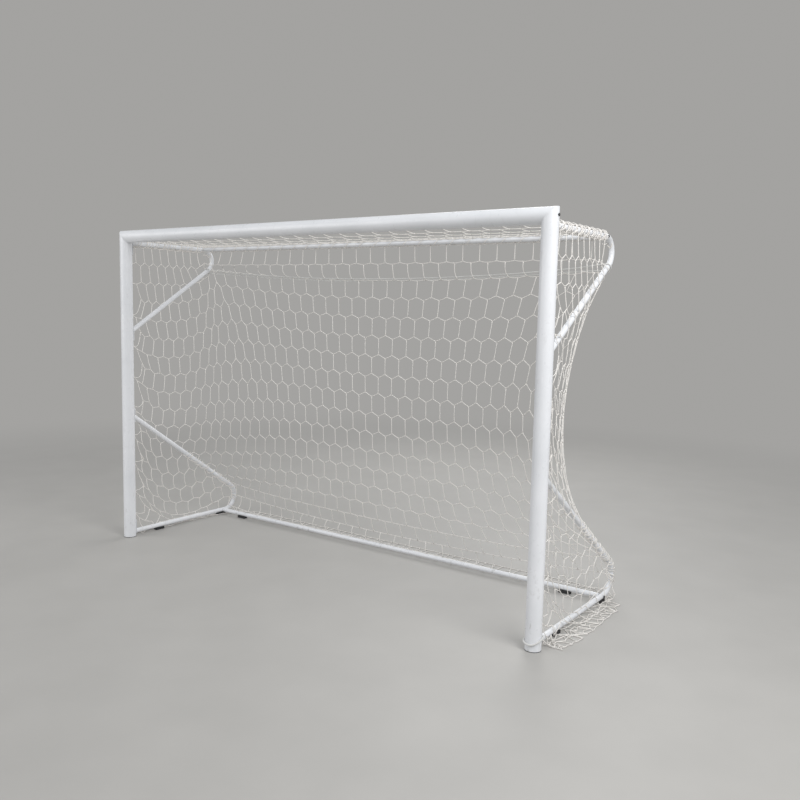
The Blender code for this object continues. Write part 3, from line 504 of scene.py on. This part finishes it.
def bent_winding(side, line, reach, turns, phase):
    """Points of a cord that winds along a stay's centre line, given in the side view."""
    line = np.array(line)
    run = np.concatenate([[0.0], np.cumsum(np.linalg.norm(np.diff(line, axis=0), axis=1))])
    t = np.linspace(0.0, run[-1], int(turns * POINTS_PER_TURN) + 1)
    y, z = np.interp(t, run, line[:, 0]), np.interp(t, run, line[:, 1])
    dy, dz = np.gradient(y), np.gradient(z)
    size = np.hypot(dy, dz)
    angle = 2 * math.pi * turns * t / run[-1] + phase
    away = reach * np.sin(angle)
    x = side * POST_X + reach * np.cos(angle)
    return np.stack([x, y - away * dz / size, z + away * dy / size], axis=1)


def build_laces(net):
    """Lacing on the upper tubes, ties at the upper bends, and twine wrapped on the lower ones."""
    for side, piece in SIDE_PIECES.items():
        x = side * POST_X
        start, end = ((x, y, UPPER_TUBE_Z) for y in STAY_LACING_Y)
        for phase, turns in STAY_LACING:
            reach = STAY_R + STAY_LACING_OUT + STAY_LACING_STEP * phase
            net.lace(piece, winding(start, end, reach, turns, phase, STAY_LACING_RISE))
        start, end = ((x, y, z) for y, z in TIE_LOOP)
        loop = winding(start, end, STAY_R + TIE_OUT, TIE_TURNS, math.pi)
        tie = [(side * across, y, z) for across, y, z in (TIE_CORNER, TIE_BETWEEN)]
        net.lace(piece, [*tie, *loop])
        lower = np.array(stay_lines()[1])
        bend_end, post_end = lower[-2:]
        wrapped = [bend_end + WRAP_SHARE * (post_end - bend_end), *lower[-2:WRAP_LAST:-1]]
        for phase, turns in WRAPS:
            reach = STAY_R + WRAP_OUT + WRAP_STEP * phase
            net.lace(piece, bent_winding(side, wrapped, reach, turns, phase))
    start, end = ((side * BAR_HALF, UPPER_BAR_Y, UPPER_TUBE_Z) for side in (-1, 1))
    bar_lacing = winding(start, end, REAR_BAR_R + BAR_LACING_OUT, BACK_COLUMNS / 2, 0.0)
    net.lace(BACK_PIECE, bar_lacing)


# Letting the net hang

STEPS = 420
PASSES = 10
FALL_STEPS = 220
START_STEPS = 60
FALL_TIME = 0.008
REST_TIME = 0.003
TAUT_SHARE = 0.05
GRAVITY = 9.81
DAMPING = 0.97
START_SPEED = 0.4
TOP_SPEED = 1.0
FLOOR_Z = 0.003
FRICTION = 0.35
FLOOR_FRICTION = 2 * FRICTION

# Twine that is softly drawn to its rest length, and how firmly it is pushed back when shorter.
SOFTNESS = 0.05
SLACK_SHARE = 0.5

# How straight a strand keeps, and how much of a bend is undone at a time.
STRAIGHT_SHARE = 0.99
STRAIGHT_PULL = 0.2

# Of every few passes, the first one straightens strands and the last one clears the tubes, as does
# the last pass of a step.
PASS_CYCLE = 3

# How many steps the list of twine near each tube is kept, and how near that is.
SEARCH_STEPS = 8
SEARCH_ROOM = 0.11

TINY = 1e-12
TINY_OFFSET = 1e-9


def batches(pairs, weights, values):
    """Splits pairs of particles into batches in which no particle comes twice."""
    used = [0] * len(weights)
    batch = []
    for a, b in pairs.tolist():
        free = ~(used[a] | used[b])
        number = (free & -free).bit_length() - 1
        used[a] |= 1 << number
        used[b] |= 1 << number
        batch.append(number)
    batch = np.array(batch)
    made = []
    for number in range(batch.max() + 1):
        mask = batch == number
        a, b = pairs[mask, 0], pairs[mask, 1]
        total = weights[a] + weights[b]
        keep = total > 0
        a, b, total = a[keep], b[keep], total[keep]
        shares = (weights[a] / total)[:, None], (weights[b] / total)[:, None]
        made.append((a, b, *shares, *[v[mask][keep] for v in values]))
    return made


def whole_change(length, longest):
    """How much a whole strand has to give: it can't be longer than its twine."""
    return np.maximum(length - longest, 0.0) / length


def link_change(length, rest, longest):
    """How much one link of a strand has to give."""
    over = np.maximum(length - longest, 0.0) + np.minimum(length - rest, 0.0) * SLACK_SHARE
    return (SOFTNESS * (length - rest) + (1 - SOFTNESS) * over) / length


def bend_change(length, span):
    """How much two links that meet have to give: they keep nearly straight."""
    return np.minimum(0.0, length - span * STRAIGHT_SHARE) / length * STRAIGHT_PULL


def pull(places, pairs, change):
    """Moves pairs of particles along the gap between them, by the share that change gives."""
    for a, b, share_a, share_b, *values in pairs:
        gap = places[b] - places[a]
        length = np.sqrt((gap * gap).sum(axis=1)) + TINY
        gap *= change(length, *values)[:, None]
        places[a] += gap * share_a
        places[b] -= gap * share_b


def near_tubes(places, free, tubes):
    """For each tube, the free particles near its box."""
    near = []
    for start, end, _, _ in tubes:
        low, high = np.minimum(start, end) - SEARCH_ROOM, np.maximum(start, end) + SEARCH_ROOM
        inside = (places >= low).all(axis=1) & (places <= high).all(axis=1)
        near.append(np.flatnonzero(free & inside))
    return near


def rest_on_tubes(new, old, near, tubes):
    """Moves particles out of the floor and the tubes, with friction along each tube."""
    low = new[:, 2] < FLOOR_Z
    new[low, 2] = FLOOR_Z
    new[low, :2] = old[low, :2] + (new[low, :2] - old[low, :2]) * (1 - FLOOR_FRICTION)
    for ids, (start, end, radius, outward) in zip(near, tubes):
        if not len(ids):
            continue
        axis = end - start
        t = np.clip(((new[ids] - start) @ axis) / (axis @ axis), 0, 1)
        foot = start + t[:, None] * axis
        offset = new[ids] - foot
        inside = np.linalg.norm(offset, axis=1) < radius
        ids, foot, offset = ids[inside], foot[inside], offset[inside]
        if outward is not None:
            behind = np.minimum(offset @ outward, 0.0)
            offset -= 2 * behind[:, None] * outward
        normal = offset / (np.linalg.norm(offset, axis=1)[:, None] + TINY_OFFSET)
        placed = foot + normal * radius
        moved = placed - old[ids]
        slid = moved - (moved * normal).sum(axis=1)[:, None] * normal
        new[ids] = placed - FRICTION * slid


def net_pairs(net, weights):
    """Batches of whole strands, of their links, and of the bends between links."""
    strands = [ids for made in net.strands.values() for ids in made]
    hard_of = {link[:2]: link[3] for link in net.links}
    ends = [(ids[0], ids[-1]) for ids in strands]
    longest = [sum(hard_of[pair] for pair in zip(ids, ids[1:])) for ids in strands]
    wholes = batches(np.array(ends), weights, (np.array(longest),))
    pairs = np.array([link[:2] for link in net.links])
    links = batches(pairs, weights, np.array([link[2:] for link in net.links]).T)
    upright_span, slant_span = 2 * (UPRIGHT_BACK / UPRIGHT_PARTS), 2 * (SLANT_SIDE[0] / SLANT_PARTS)
    pairs, spans = [], []
    for ids in strands:
        for pair in zip(ids, ids[2:]):
            pairs.append(pair)
            spans.append(upright_span if len(ids) == UPRIGHT_PARTS + 1 else slant_span)
    return wholes, links, batches(np.array(pairs), weights, (np.array(spans),))


def hang(net):
    """Lets the lattice fall and settle, and returns each particle's place."""
    here = np.array(net.places)
    weights = np.ones(len(here))
    pins = np.array(sorted(net.pinned))
    weights[pins] = 0.0
    pinned_at = here[pins].copy()
    free = weights > 0
    wholes, links, bends = net_pairs(net, weights)
    heaviness = np.ones(len(here))
    heaviness[sorted(net.taut)] = TAUT_SHARE
    tubes = [
        (np.array(a), np.array(b), r + CONTACT, None if out is None else np.array(out, float))
        for a, b, r, out in frame_tubes()
    ]
    speed = np.zeros_like(here)
    for step in range(STEPS):
        if step % SEARCH_STEPS == 0:
            near = near_tubes(here, free, tubes)
        step_time = FALL_TIME if step < FALL_STEPS else REST_TIME
        speed *= 0.0 if step == FALL_STEPS else DAMPING
        speed[free, 2] -= GRAVITY * step_time * heaviness[free]
        size = np.linalg.norm(speed, axis=1)
        limit = START_SPEED if step < START_STEPS else TOP_SPEED
        fast = size > limit
        speed[fast] *= (limit / size[fast])[:, None]
        new = here + speed * step_time
        new[pins] = pinned_at
        for turn in range(PASSES):
            pull(new, wholes, whole_change)
            pull(new, links, link_change)
            if turn % PASS_CYCLE == 0:
                pull(new, bends, bend_change)
            if turn % PASS_CYCLE == PASS_CYCLE - 1 or turn == PASSES - 1:
                rest_on_tubes(new, here, near, tubes)
        speed = (new - here) / step_time
        here = new
    return here


# Drawing twine

# Sides of a tube of twine, rings along each kind of strand and for each point of a lace, how
# sharply a strand thickens at its knots, and the slope from which a strand counts as upright.
TWINE_SIDES = 6
SLANT_RINGS, UPRIGHT_RINGS = 6, 8
LACE_RINGS = 2
KNOT_POWER = 6
STEEP = 0.8


def smooth_rows(points, rings):
    """Smooth curves through rows of points, all of them at once."""
    count = points.shape[1]
    before = 2 * points[:, :1] - points[:, 1:2]
    after = 2 * points[:, -1:] - points[:, -2:-1]
    padded = np.concatenate([before, points, after], axis=1)
    t = np.linspace(0, count - 1, rings)
    i = np.minimum(t.astype(int), count - 2)
    f = (t - i)[None, :, None]
    p0, p1, p2, p3 = (padded[:, i + k] for k in range(4))
    cubic = (3 * (p1 - p2) + p3 - p0) * f**3
    square = (2 * p0 - 5 * p1 + 4 * p2 - p3) * f**2
    return 0.5 * (2 * p1 + (p2 - p0) * f + square + cubic)


def tube_rows(lines, radii, sides):
    """Closed round tubes along rows of points. Returns points, faces, caps and corner UVs."""
    strands, rings, _ = lines.shape
    run = np.gradient(lines, axis=1)
    run /= np.linalg.norm(run, axis=2)[:, :, None] + TINY
    chord = lines[:, -1] - lines[:, 0]
    upright = np.abs(chord[:, 2]) > STEEP * np.linalg.norm(chord, axis=1)
    helper = np.where(upright[:, None], np.array([0.0, 1.0, 0.0]), np.array([0.0, 0.0, 1.0]))
    across = np.cross(run, helper[:, None, :])
    across /= np.linalg.norm(across, axis=2)[:, :, None] + TINY
    other = np.cross(run, across)
    angles = 2 * math.pi * np.arange(sides) / sides
    circle = (
        across[:, :, None, :] * np.cos(angles)[None, None, :, None]
        + other[:, :, None, :] * np.sin(angles)[None, None, :, None]
    )
    points = (lines[:, :, None, :] + circle * radii[None, :, None, None]).reshape(-1, 3)
    ring, side = np.meshgrid(np.arange(rings - 1), np.arange(sides), indexing="ij")
    here, there = ring * sides, (ring + 1) * sides
    after = (side + 1) % sides
    quads = np.stack([here + side, here + after, there + after, there + side], axis=-1)
    offset = (np.arange(strands) * rings * sides)[:, None, None]
    faces = (quads.reshape(-1, 4)[None] + offset).reshape(-1, 4)
    step = (np.linalg.norm(np.diff(lines, axis=1), axis=2)).cumsum(axis=1)
    reach = np.concatenate([np.zeros((strands, 1)), step], axis=1)
    corner_ring = np.stack([ring, ring, ring + 1, ring + 1], axis=-1).reshape(-1, 4)
    corner_side = np.stack([side, side + 1, side + 1, side], axis=-1).reshape(-1, 4)
    u = np.broadcast_to(corner_side[None] / sides, (strands, *corner_side.shape))
    uv = np.stack([u, reach[:, corner_ring]], axis=-1).reshape(-1, 2)
    first = np.arange(sides)[::-1]
    last = np.arange(sides) + (rings - 1) * sides
    caps = np.stack([first, last])[None] + offset
    return points, faces, caps.reshape(-1, sides), uv


def twine_object(name, strands, laces, places, material):
    """One mesh of twine, from strands that are rows of particles, and from laces."""
    groups = []
    for parts, rings in ((SLANT_PARTS, SLANT_RINGS), (UPRIGHT_PARTS, UPRIGHT_RINGS)):
        ids = np.array([strand for strand in strands if len(strand) == parts + 1])
        ends = np.abs(np.linspace(-1, 1, rings)) ** KNOT_POWER
        groups.append((smooth_rows(places[ids], rings), TWINE_R + (KNOT_R - TWINE_R) * ends))
    for lace in laces:
        rings = LACE_RINGS * len(lace)
        groups.append((smooth_rows(lace[None], rings), np.full(rings, LACE_R)))
    all_points, all_faces, all_uv = [], [], []
    shift = 0
    for lines, radii in groups:
        points, faces, caps, uv = tube_rows(lines, radii, TWINE_SIDES)
        all_points.append(points)
        all_faces += (faces + shift).tolist() + (caps + shift).tolist()
        all_uv += [uv, np.zeros((caps.size, 2))]
        shift += len(points)
    mesh = bpy.data.meshes.new(name)
    mesh.from_pydata(np.concatenate(all_points).tolist(), [], all_faces)
    layer = mesh.uv_layers.new(name="along")
    layer.data.foreach_set("uv", np.concatenate(all_uv).ravel())
    mesh.shade_smooth()
    mesh.materials.append(material)
    made = bpy.data.objects.new(name, mesh)
    bpy.context.scene.collection.objects.link(made)
    return made


# Materials

# Painted tubes: clean tones, and scuffs that are strong at the floor and faint above their height.
PAINT = (0.80, 0.81, 0.83)
PAINT_ROUGHNESS = 0.32
PAINT_TONES = ((0.35, (0.77, 0.785, 0.81)), (0.65, (0.84, 0.85, 0.875)))
PAINT_SHINE = (0.26, 0.40)
PAINT_PEEL = 0.00012
SCUFF = (0.47, 0.47, 0.46)
SCUFF_HEIGHT = 0.5
SCUFF_SHARE = (0.70, 0.16)
SCUFF_EDGE = (0.57, 0.70)
SCUFF_STRETCH = (1.0, 1.0, 0.4)

# Range of noise that a material spreads over its tones.
MIDDLE_NOISE = (0.3, 0.7)

# Plastic and metal: shares of the colour in the dark and light spots, spread of the roughness, and
# depth of the grain.
PLASTIC_TONES = (0.85, 1.12)
PLASTIC_GRAIN = 900.0
PLASTIC_DEPTH = 0.0001
METAL_DARK = 0.8
METAL_SHINE = (-0.08, 0.12)
METAL_DEPTH = 0.00015

# Twine: strands round the cord, their lean, and how they show, with painted shade that darkens the
# grooves between the strands.
CORD_ROUGHNESS = 0.75
CORD_STRANDS = 2.0
CORD_LEAN = math.radians(45)
CORD_GROOVE_SHADE = 0.80
CORD_EDGE = (0.1, 0.8)
CORD_DEPTH = 0.0004


class Nodes:
    """A material's node tree, with short calls to add and join nodes."""

    def __init__(self, name, colour, roughness, metallic=0.0):
        self.material = bpy.data.materials.new(name)
        self.material.use_nodes = True
        self.tree = self.material.node_tree
        self.shader = self.tree.nodes["Principled BSDF"]
        self.shader.inputs["Base Color"].default_value = (*colour, 1.0)
        self.shader.inputs["Roughness"].default_value = roughness
        self.shader.inputs["Metallic"].default_value = metallic

    def add(self, kind, **inputs):
        """Adds a node and sets its inputs by name."""
        node = self.tree.nodes.new(kind)
        for name, value in inputs.items():
            node.inputs[name.replace("_", " ")].default_value = value
        return node

    def join(self, output, socket):
        """Links an output to an input."""
        self.tree.links.new(output, socket)

    def shade(self, **sockets):
        """Links outputs to the shader's inputs by name."""
        for name, output in sockets.items():
            self.join(output, self.shader.inputs[name.replace("_", " ")])

    def place(self, source="Object"):
        """Texture coordinates."""
        return self.add("ShaderNodeTexCoord").outputs[source]

    def noise(self, scale, detail=3.0, roughness=0.5, stretch=None):
        """Noise in the object's own space."""
        node = self.add("ShaderNodeTexNoise", Scale=scale, Detail=detail, Roughness=roughness)
        place = self.place()
        if stretch:
            mapping = self.add("ShaderNodeMapping", Scale=stretch)
            self.join(place, mapping.inputs["Vector"])
            place = mapping.outputs["Vector"]
        self.join(place, node.inputs["Vector"])
        return node.outputs["Fac"]

    def ramp(self, value, stops):
        """Colours by value, from two stops of a value and a colour."""
        node = self.add("ShaderNodeValToRGB")
        for element, (place, colour) in zip(node.color_ramp.elements, stops, strict=True):
            element.position = place
            element.color = (*colour, 1.0)
        self.join(value, node.inputs["Fac"])
        return node.outputs["Color"]

    def span(self, value, source, target):
        """Spreads a range of values over another one."""
        node = self.add("ShaderNodeMapRange")
        for name, numbers in (("From", source), ("To", target)):
            node.inputs[f"{name} Min"].default_value = numbers[0]
            node.inputs[f"{name} Max"].default_value = numbers[1]
        self.join(value, node.inputs["Value"])
        return node.outputs["Result"]

    def combine(self, operation, first, second):
        """One value from two."""
        node = self.add("ShaderNodeMath")
        node.operation = operation
        self.join(first, node.inputs[0])
        self.join(second, node.inputs[1])
        return node.outputs[0]

    def bump(self, height, distance, strength=1.0):
        """Small relief."""
        node = self.add("ShaderNodeBump", Distance=distance, Strength=strength)
        self.join(height, node.inputs["Height"])
        return node.outputs["Normal"]


def shades(colour, *shares):
    """The colour times each share, none above white."""
    return [tuple(min(1.0, part * share) for part in colour) for share in shares]


def white_paint():
    """Powder coat on aluminium: a faint orange peel, with grey scuffs low down."""
    nodes = Nodes("white_paint", PAINT, PAINT_ROUGHNESS)
    clean = nodes.ramp(nodes.noise(scale=3.0, detail=4.0), PAINT_TONES)
    split = nodes.add("ShaderNodeSeparateXYZ")
    nodes.join(nodes.place(), split.inputs[0])
    low = nodes.span(split.outputs["Z"], (0.0, SCUFF_HEIGHT), SCUFF_SHARE)
    spots = nodes.noise(scale=38.0, detail=8.0, roughness=0.68, stretch=SCUFF_STRETCH)
    share = nodes.combine("MULTIPLY", low, nodes.span(spots, SCUFF_EDGE, (0.0, 1.0)))
    scuffed = nodes.add("ShaderNodeMixRGB", Color2=(*SCUFF, 1.0))
    nodes.join(share, scuffed.inputs["Fac"])
    nodes.join(clean, scuffed.inputs["Color1"])
    nodes.shade(Base_Color=scuffed.outputs["Color"])
    nodes.shade(Roughness=nodes.span(nodes.noise(scale=40.0), MIDDLE_NOISE, PAINT_SHINE))
    nodes.shade(Normal=nodes.bump(nodes.noise(scale=420.0, detail=2.0), PAINT_PEEL))
    return nodes.material


def plastic(name, colour, roughness, grain=PLASTIC_GRAIN):
    """Moulded plastic with a fine matt grain."""
    nodes = Nodes(name, colour, roughness)
    stops = zip(MIDDLE_NOISE, shades(colour, *PLASTIC_TONES))
    nodes.shade(Base_Color=nodes.ramp(nodes.noise(scale=60.0), list(stops)))
    nodes.shade(Normal=nodes.bump(nodes.noise(scale=grain, detail=2.0), PLASTIC_DEPTH))
    return nodes.material


def metal(name, colour, roughness, grain):
    """Bare or plated metal with fine grain and uneven shine."""
    nodes = Nodes(name, colour, roughness, metallic=1.0)
    stops = zip(MIDDLE_NOISE, shades(colour, METAL_DARK, 1.0))
    nodes.shade(Base_Color=nodes.ramp(nodes.noise(scale=25.0), list(stops)))
    shine = [roughness + change for change in METAL_SHINE]
    nodes.shade(Roughness=nodes.span(nodes.noise(scale=90.0), MIDDLE_NOISE, shine))
    nodes.shade(Normal=nodes.bump(nodes.noise(scale=grain), METAL_DEPTH))
    return nodes.material


def twine(name, colour, pitch):
    """Braided twine: strands that cross in two directions round the cord, with painted shade
    darkening the grooves between them.
    """
    nodes = Nodes(name, colour, CORD_ROUGHNESS)
    waves = []
    for lean in (CORD_LEAN, -CORD_LEAN):
        stretch = (CORD_STRANDS, 1.0 / pitch, 1.0)
        mapping = nodes.add("ShaderNodeMapping", Scale=stretch, Rotation=(0.0, 0.0, lean))
        nodes.join(nodes.place("UV"), mapping.inputs["Vector"])
        wave = nodes.add("ShaderNodeTexWave", Scale=1.0, Distortion=0.0)
        nodes.join(mapping.outputs["Vector"], wave.inputs["Vector"])
        waves.append(wave.outputs["Fac"])
    braid = nodes.combine("MAXIMUM", *waves)
    # Painted shade: the braid's low grooves take the darker colour and the raised strands the full
    # colour.
    nodes.shade(Base_Color=nodes.ramp(braid, list(zip(CORD_EDGE, shades(colour, CORD_GROOVE_SHADE, 1.0)))))
    nodes.shade(Normal=nodes.bump(braid, CORD_DEPTH))
    return nodes.material


MATERIALS = {
    "white_paint": white_paint(),
    "cast_aluminium": metal("cast_aluminium", (0.62, 0.63, 0.65), 0.42, grain=300.0),
    "black_cap": plastic("black_cap", (0.030, 0.030, 0.033), 0.38),
    "foot_plastic": plastic("foot_plastic", (0.045, 0.045, 0.048), 0.55),
    "hook_plastic": plastic("hook_plastic", (0.78, 0.78, 0.77), 0.45),
    "zinc_steel": metal("zinc_steel", (0.72, 0.72, 0.70), 0.34, grain=500.0),
    "pad_rubber": plastic("pad_rubber", (0.028, 0.028, 0.030), 0.72, grain=500.0),
    "net_cord": twine("net_cord", (0.93, 0.90, 0.86), pitch=0.004),
    "rope_cord": twine("rope_cord", (0.82, 0.82, 0.80), pitch=0.006),
}

# Material slots of the carried-over CAD nodes, by the first of these words in a node's name.
SLOTS = {
    "corner_insert": "cast_aluminium",
    "insert": "zinc_steel",
    "nut": "zinc_steel",
    "bolt": "black_cap",
    "foot": "foot_plastic",
    "hook_strip": "hook_plastic",
    "pad": "pad_rubber",
    "rope": "rope_cord",
    "net": "net_cord",
}

# Pieces of twine, and the CAD nodes that each one stands for.
STANDS_FOR = {
    TOP_PIECE: ("net_top",),
    BACK_PIECE: ("net_back", "net_rear_skirt"),
    SIDE_PIECES[-1]: ("left_net_side", "left_net_skirt"),
    SIDE_PIECES[1]: ("right_net_side", "right_net_skirt"),
}


def dress_nodes():
    """Gives every carried-over CAD node its finish."""
    for name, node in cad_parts.items():
        slot = next((slot for word, slot in SLOTS.items() if word in name), "white_paint")
        node.data.materials.clear()
        node.data.materials.append(MATERIALS[slot])


def add_net():
    """The hanging net, drawn as twine in four pieces."""
    net = build_lattice()
    places = hang(net)
    places[:, 1] += FRONT
    for piece, nodes in STANDS_FOR.items():
        laces = [lace + (0.0, FRONT, 0.0) for lace in net.laces.get(piece, [])]
        made = twine_object(piece, net.strands[piece], laces, places, MATERIALS["net_cord"])
        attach(made, BODY)
        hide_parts(*nodes)


# Studio

CAMERA_PLACE = (3.21606, -3.49090, 1.61231)
CAMERA_YAW = math.radians(-35.476)
CAMERA_PITCH = math.radians(6.356)
CAMERA_ROLL = math.radians(1.243)
LENS = 37.353
SENSOR = 36.0

FLOOR_HALF = 60.0
FLOOR_TONE = (0.44, 0.43, 0.41)
FLOOR_ROUGHNESS = 0.55
FLOOR_TONES = (0.97, 1.03)
BACKDROP = (0.37, 0.365, 0.355)
FADE = (2.6, 7.5)
SKY = (0.95, 0.97, 1.0)
SKY_STRENGTH = 0.45

# Lamps: place, what each points at, size and power.
LAMPS = {
    "key": ((4.5, -2.0, 4.2), (0.0, 0.0, 1.0), 3.5, 195.0),
    "fill": ((-4.0, -4.5, 3.0), (0.0, 0.0, 1.0), 4.0, 110.0),
    "rear": ((-1.0, 4.5, 4.0), (0.0, 0.0, 0.8), 4.0, 105.0),
}


def floor_material():
    """A plain pale floor that runs into the backdrop's colour away from the object."""
    nodes = Nodes("floor_finish", FLOOR_TONE, FLOOR_ROUGHNESS)
    stops = zip(MIDDLE_NOISE, shades(FLOOR_TONE, *FLOOR_TONES))
    nodes.shade(Base_Color=nodes.ramp(nodes.noise(scale=2.5, detail=6.0), list(stops)))
    grain = nodes.noise(scale=600.0, detail=2.0)
    nodes.shade(Normal=nodes.bump(grain, distance=0.0001, strength=0.5))
    far = nodes.add("ShaderNodeVectorMath")
    far.operation = "LENGTH"
    nodes.join(nodes.place(), far.inputs[0])
    fade = nodes.span(far.outputs["Value"], FADE, (0.0, 1.0))
    fade.node.interpolation_type = "SMOOTHSTEP"
    glow = nodes.add("ShaderNodeEmission", Color=(*BACKDROP, 1.0))
    rays = nodes.add("ShaderNodeLightPath")
    shown = nodes.combine("MULTIPLY", rays.outputs["Is Camera Ray"], fade)
    blend = nodes.add("ShaderNodeMixShader")
    nodes.join(shown, blend.inputs["Fac"])
    nodes.join(nodes.shader.outputs[0], blend.inputs[1])
    nodes.join(glow.outputs[0], blend.inputs[2])
    nodes.join(blend.outputs[0], nodes.tree.nodes["Material Output"].inputs["Surface"])
    return nodes.material


def add_floor():
    """A flat square of floor under the goal."""
    mesh = bpy.data.meshes.new("floor")
    corners = ((-1, -1), (1, -1), (1, 1), (-1, 1))
    mesh.from_pydata([(FLOOR_HALF * x, FLOOR_HALF * y, 0) for x, y in corners], [], [(0, 1, 2, 3)])
    mesh.materials.append(floor_material())
    floor = bpy.data.objects.new("floor", mesh)
    bpy.context.scene.collection.objects.link(floor)


def add_lamps():
    """Round lamps that point at the goal."""
    for name, (place, target, size, power) in LAMPS.items():
        lamp = bpy.data.lights.new(name, "AREA")
        lamp.shape = "DISK"
        lamp.size = size
        lamp.energy = power
        made = bpy.data.objects.new(name, lamp)
        made.location = place
        made.rotation_mode = "QUATERNION"
        made.rotation_quaternion = (Vector(target) - Vector(place)).to_track_quat("-Z", "Y")
        bpy.context.scene.collection.objects.link(made)


def add_camera():
    """The photograph's view, as a place and three turns."""
    level_share = math.cos(CAMERA_PITCH)
    ahead = Vector(
        (
            math.sin(CAMERA_YAW) * level_share,
            math.cos(CAMERA_YAW) * level_share,
            -math.sin(CAMERA_PITCH),
        )
    )
    level = Vector((math.cos(CAMERA_YAW), -math.sin(CAMERA_YAW), 0.0))
    right = math.cos(CAMERA_ROLL) * level + math.sin(CAMERA_ROLL) * level.cross(ahead)
    up = right.cross(ahead)
    camera = bpy.data.cameras.new("camera")
    camera.lens = LENS
    camera.sensor_width = SENSOR
    made = bpy.data.objects.new("camera", camera)
    turn = Matrix((right, up, -ahead)).transposed().to_4x4()
    x, y, z = CAMERA_PLACE
    made.matrix_world = Matrix.Translation((x, y + FRONT, z)) @ turn
    bpy.context.scene.collection.objects.link(made)
    bpy.context.scene.camera = made


def add_world():
    """Soft light from all round, with the plain backdrop where a camera or mirror ray ends."""
    world = bpy.data.worlds.new("studio")
    world.use_nodes = True
    tree = world.node_tree
    background = tree.nodes["Background"]
    rays = tree.nodes.new("ShaderNodeLightPath")
    seen = tree.nodes.new("ShaderNodeMath")
    seen.operation = "MAXIMUM"
    tree.links.new(rays.outputs["Is Camera Ray"], seen.inputs[0])
    tree.links.new(rays.outputs["Is Glossy Ray"], seen.inputs[1])
    shown = tree.nodes.new("ShaderNodeBackground")
    shown.inputs["Color"].default_value = (*BACKDROP, 1.0)
    background.inputs["Color"].default_value = (*SKY, 1.0)
    background.inputs["Strength"].default_value = SKY_STRENGTH
    mix = tree.nodes.new("ShaderNodeMixShader")
    tree.links.new(seen.outputs[0], mix.inputs["Fac"])
    tree.links.new(background.outputs[0], mix.inputs[1])
    tree.links.new(shown.outputs[0], mix.inputs[2])
    tree.links.new(mix.outputs[0], tree.nodes["World Output"].inputs["Surface"])
    bpy.context.scene.world = world


dress_nodes()
add_net()
add_floor()
add_lamps()
add_camera()
add_world()
bpy.context.scene.view_settings.view_transform = "Standard"
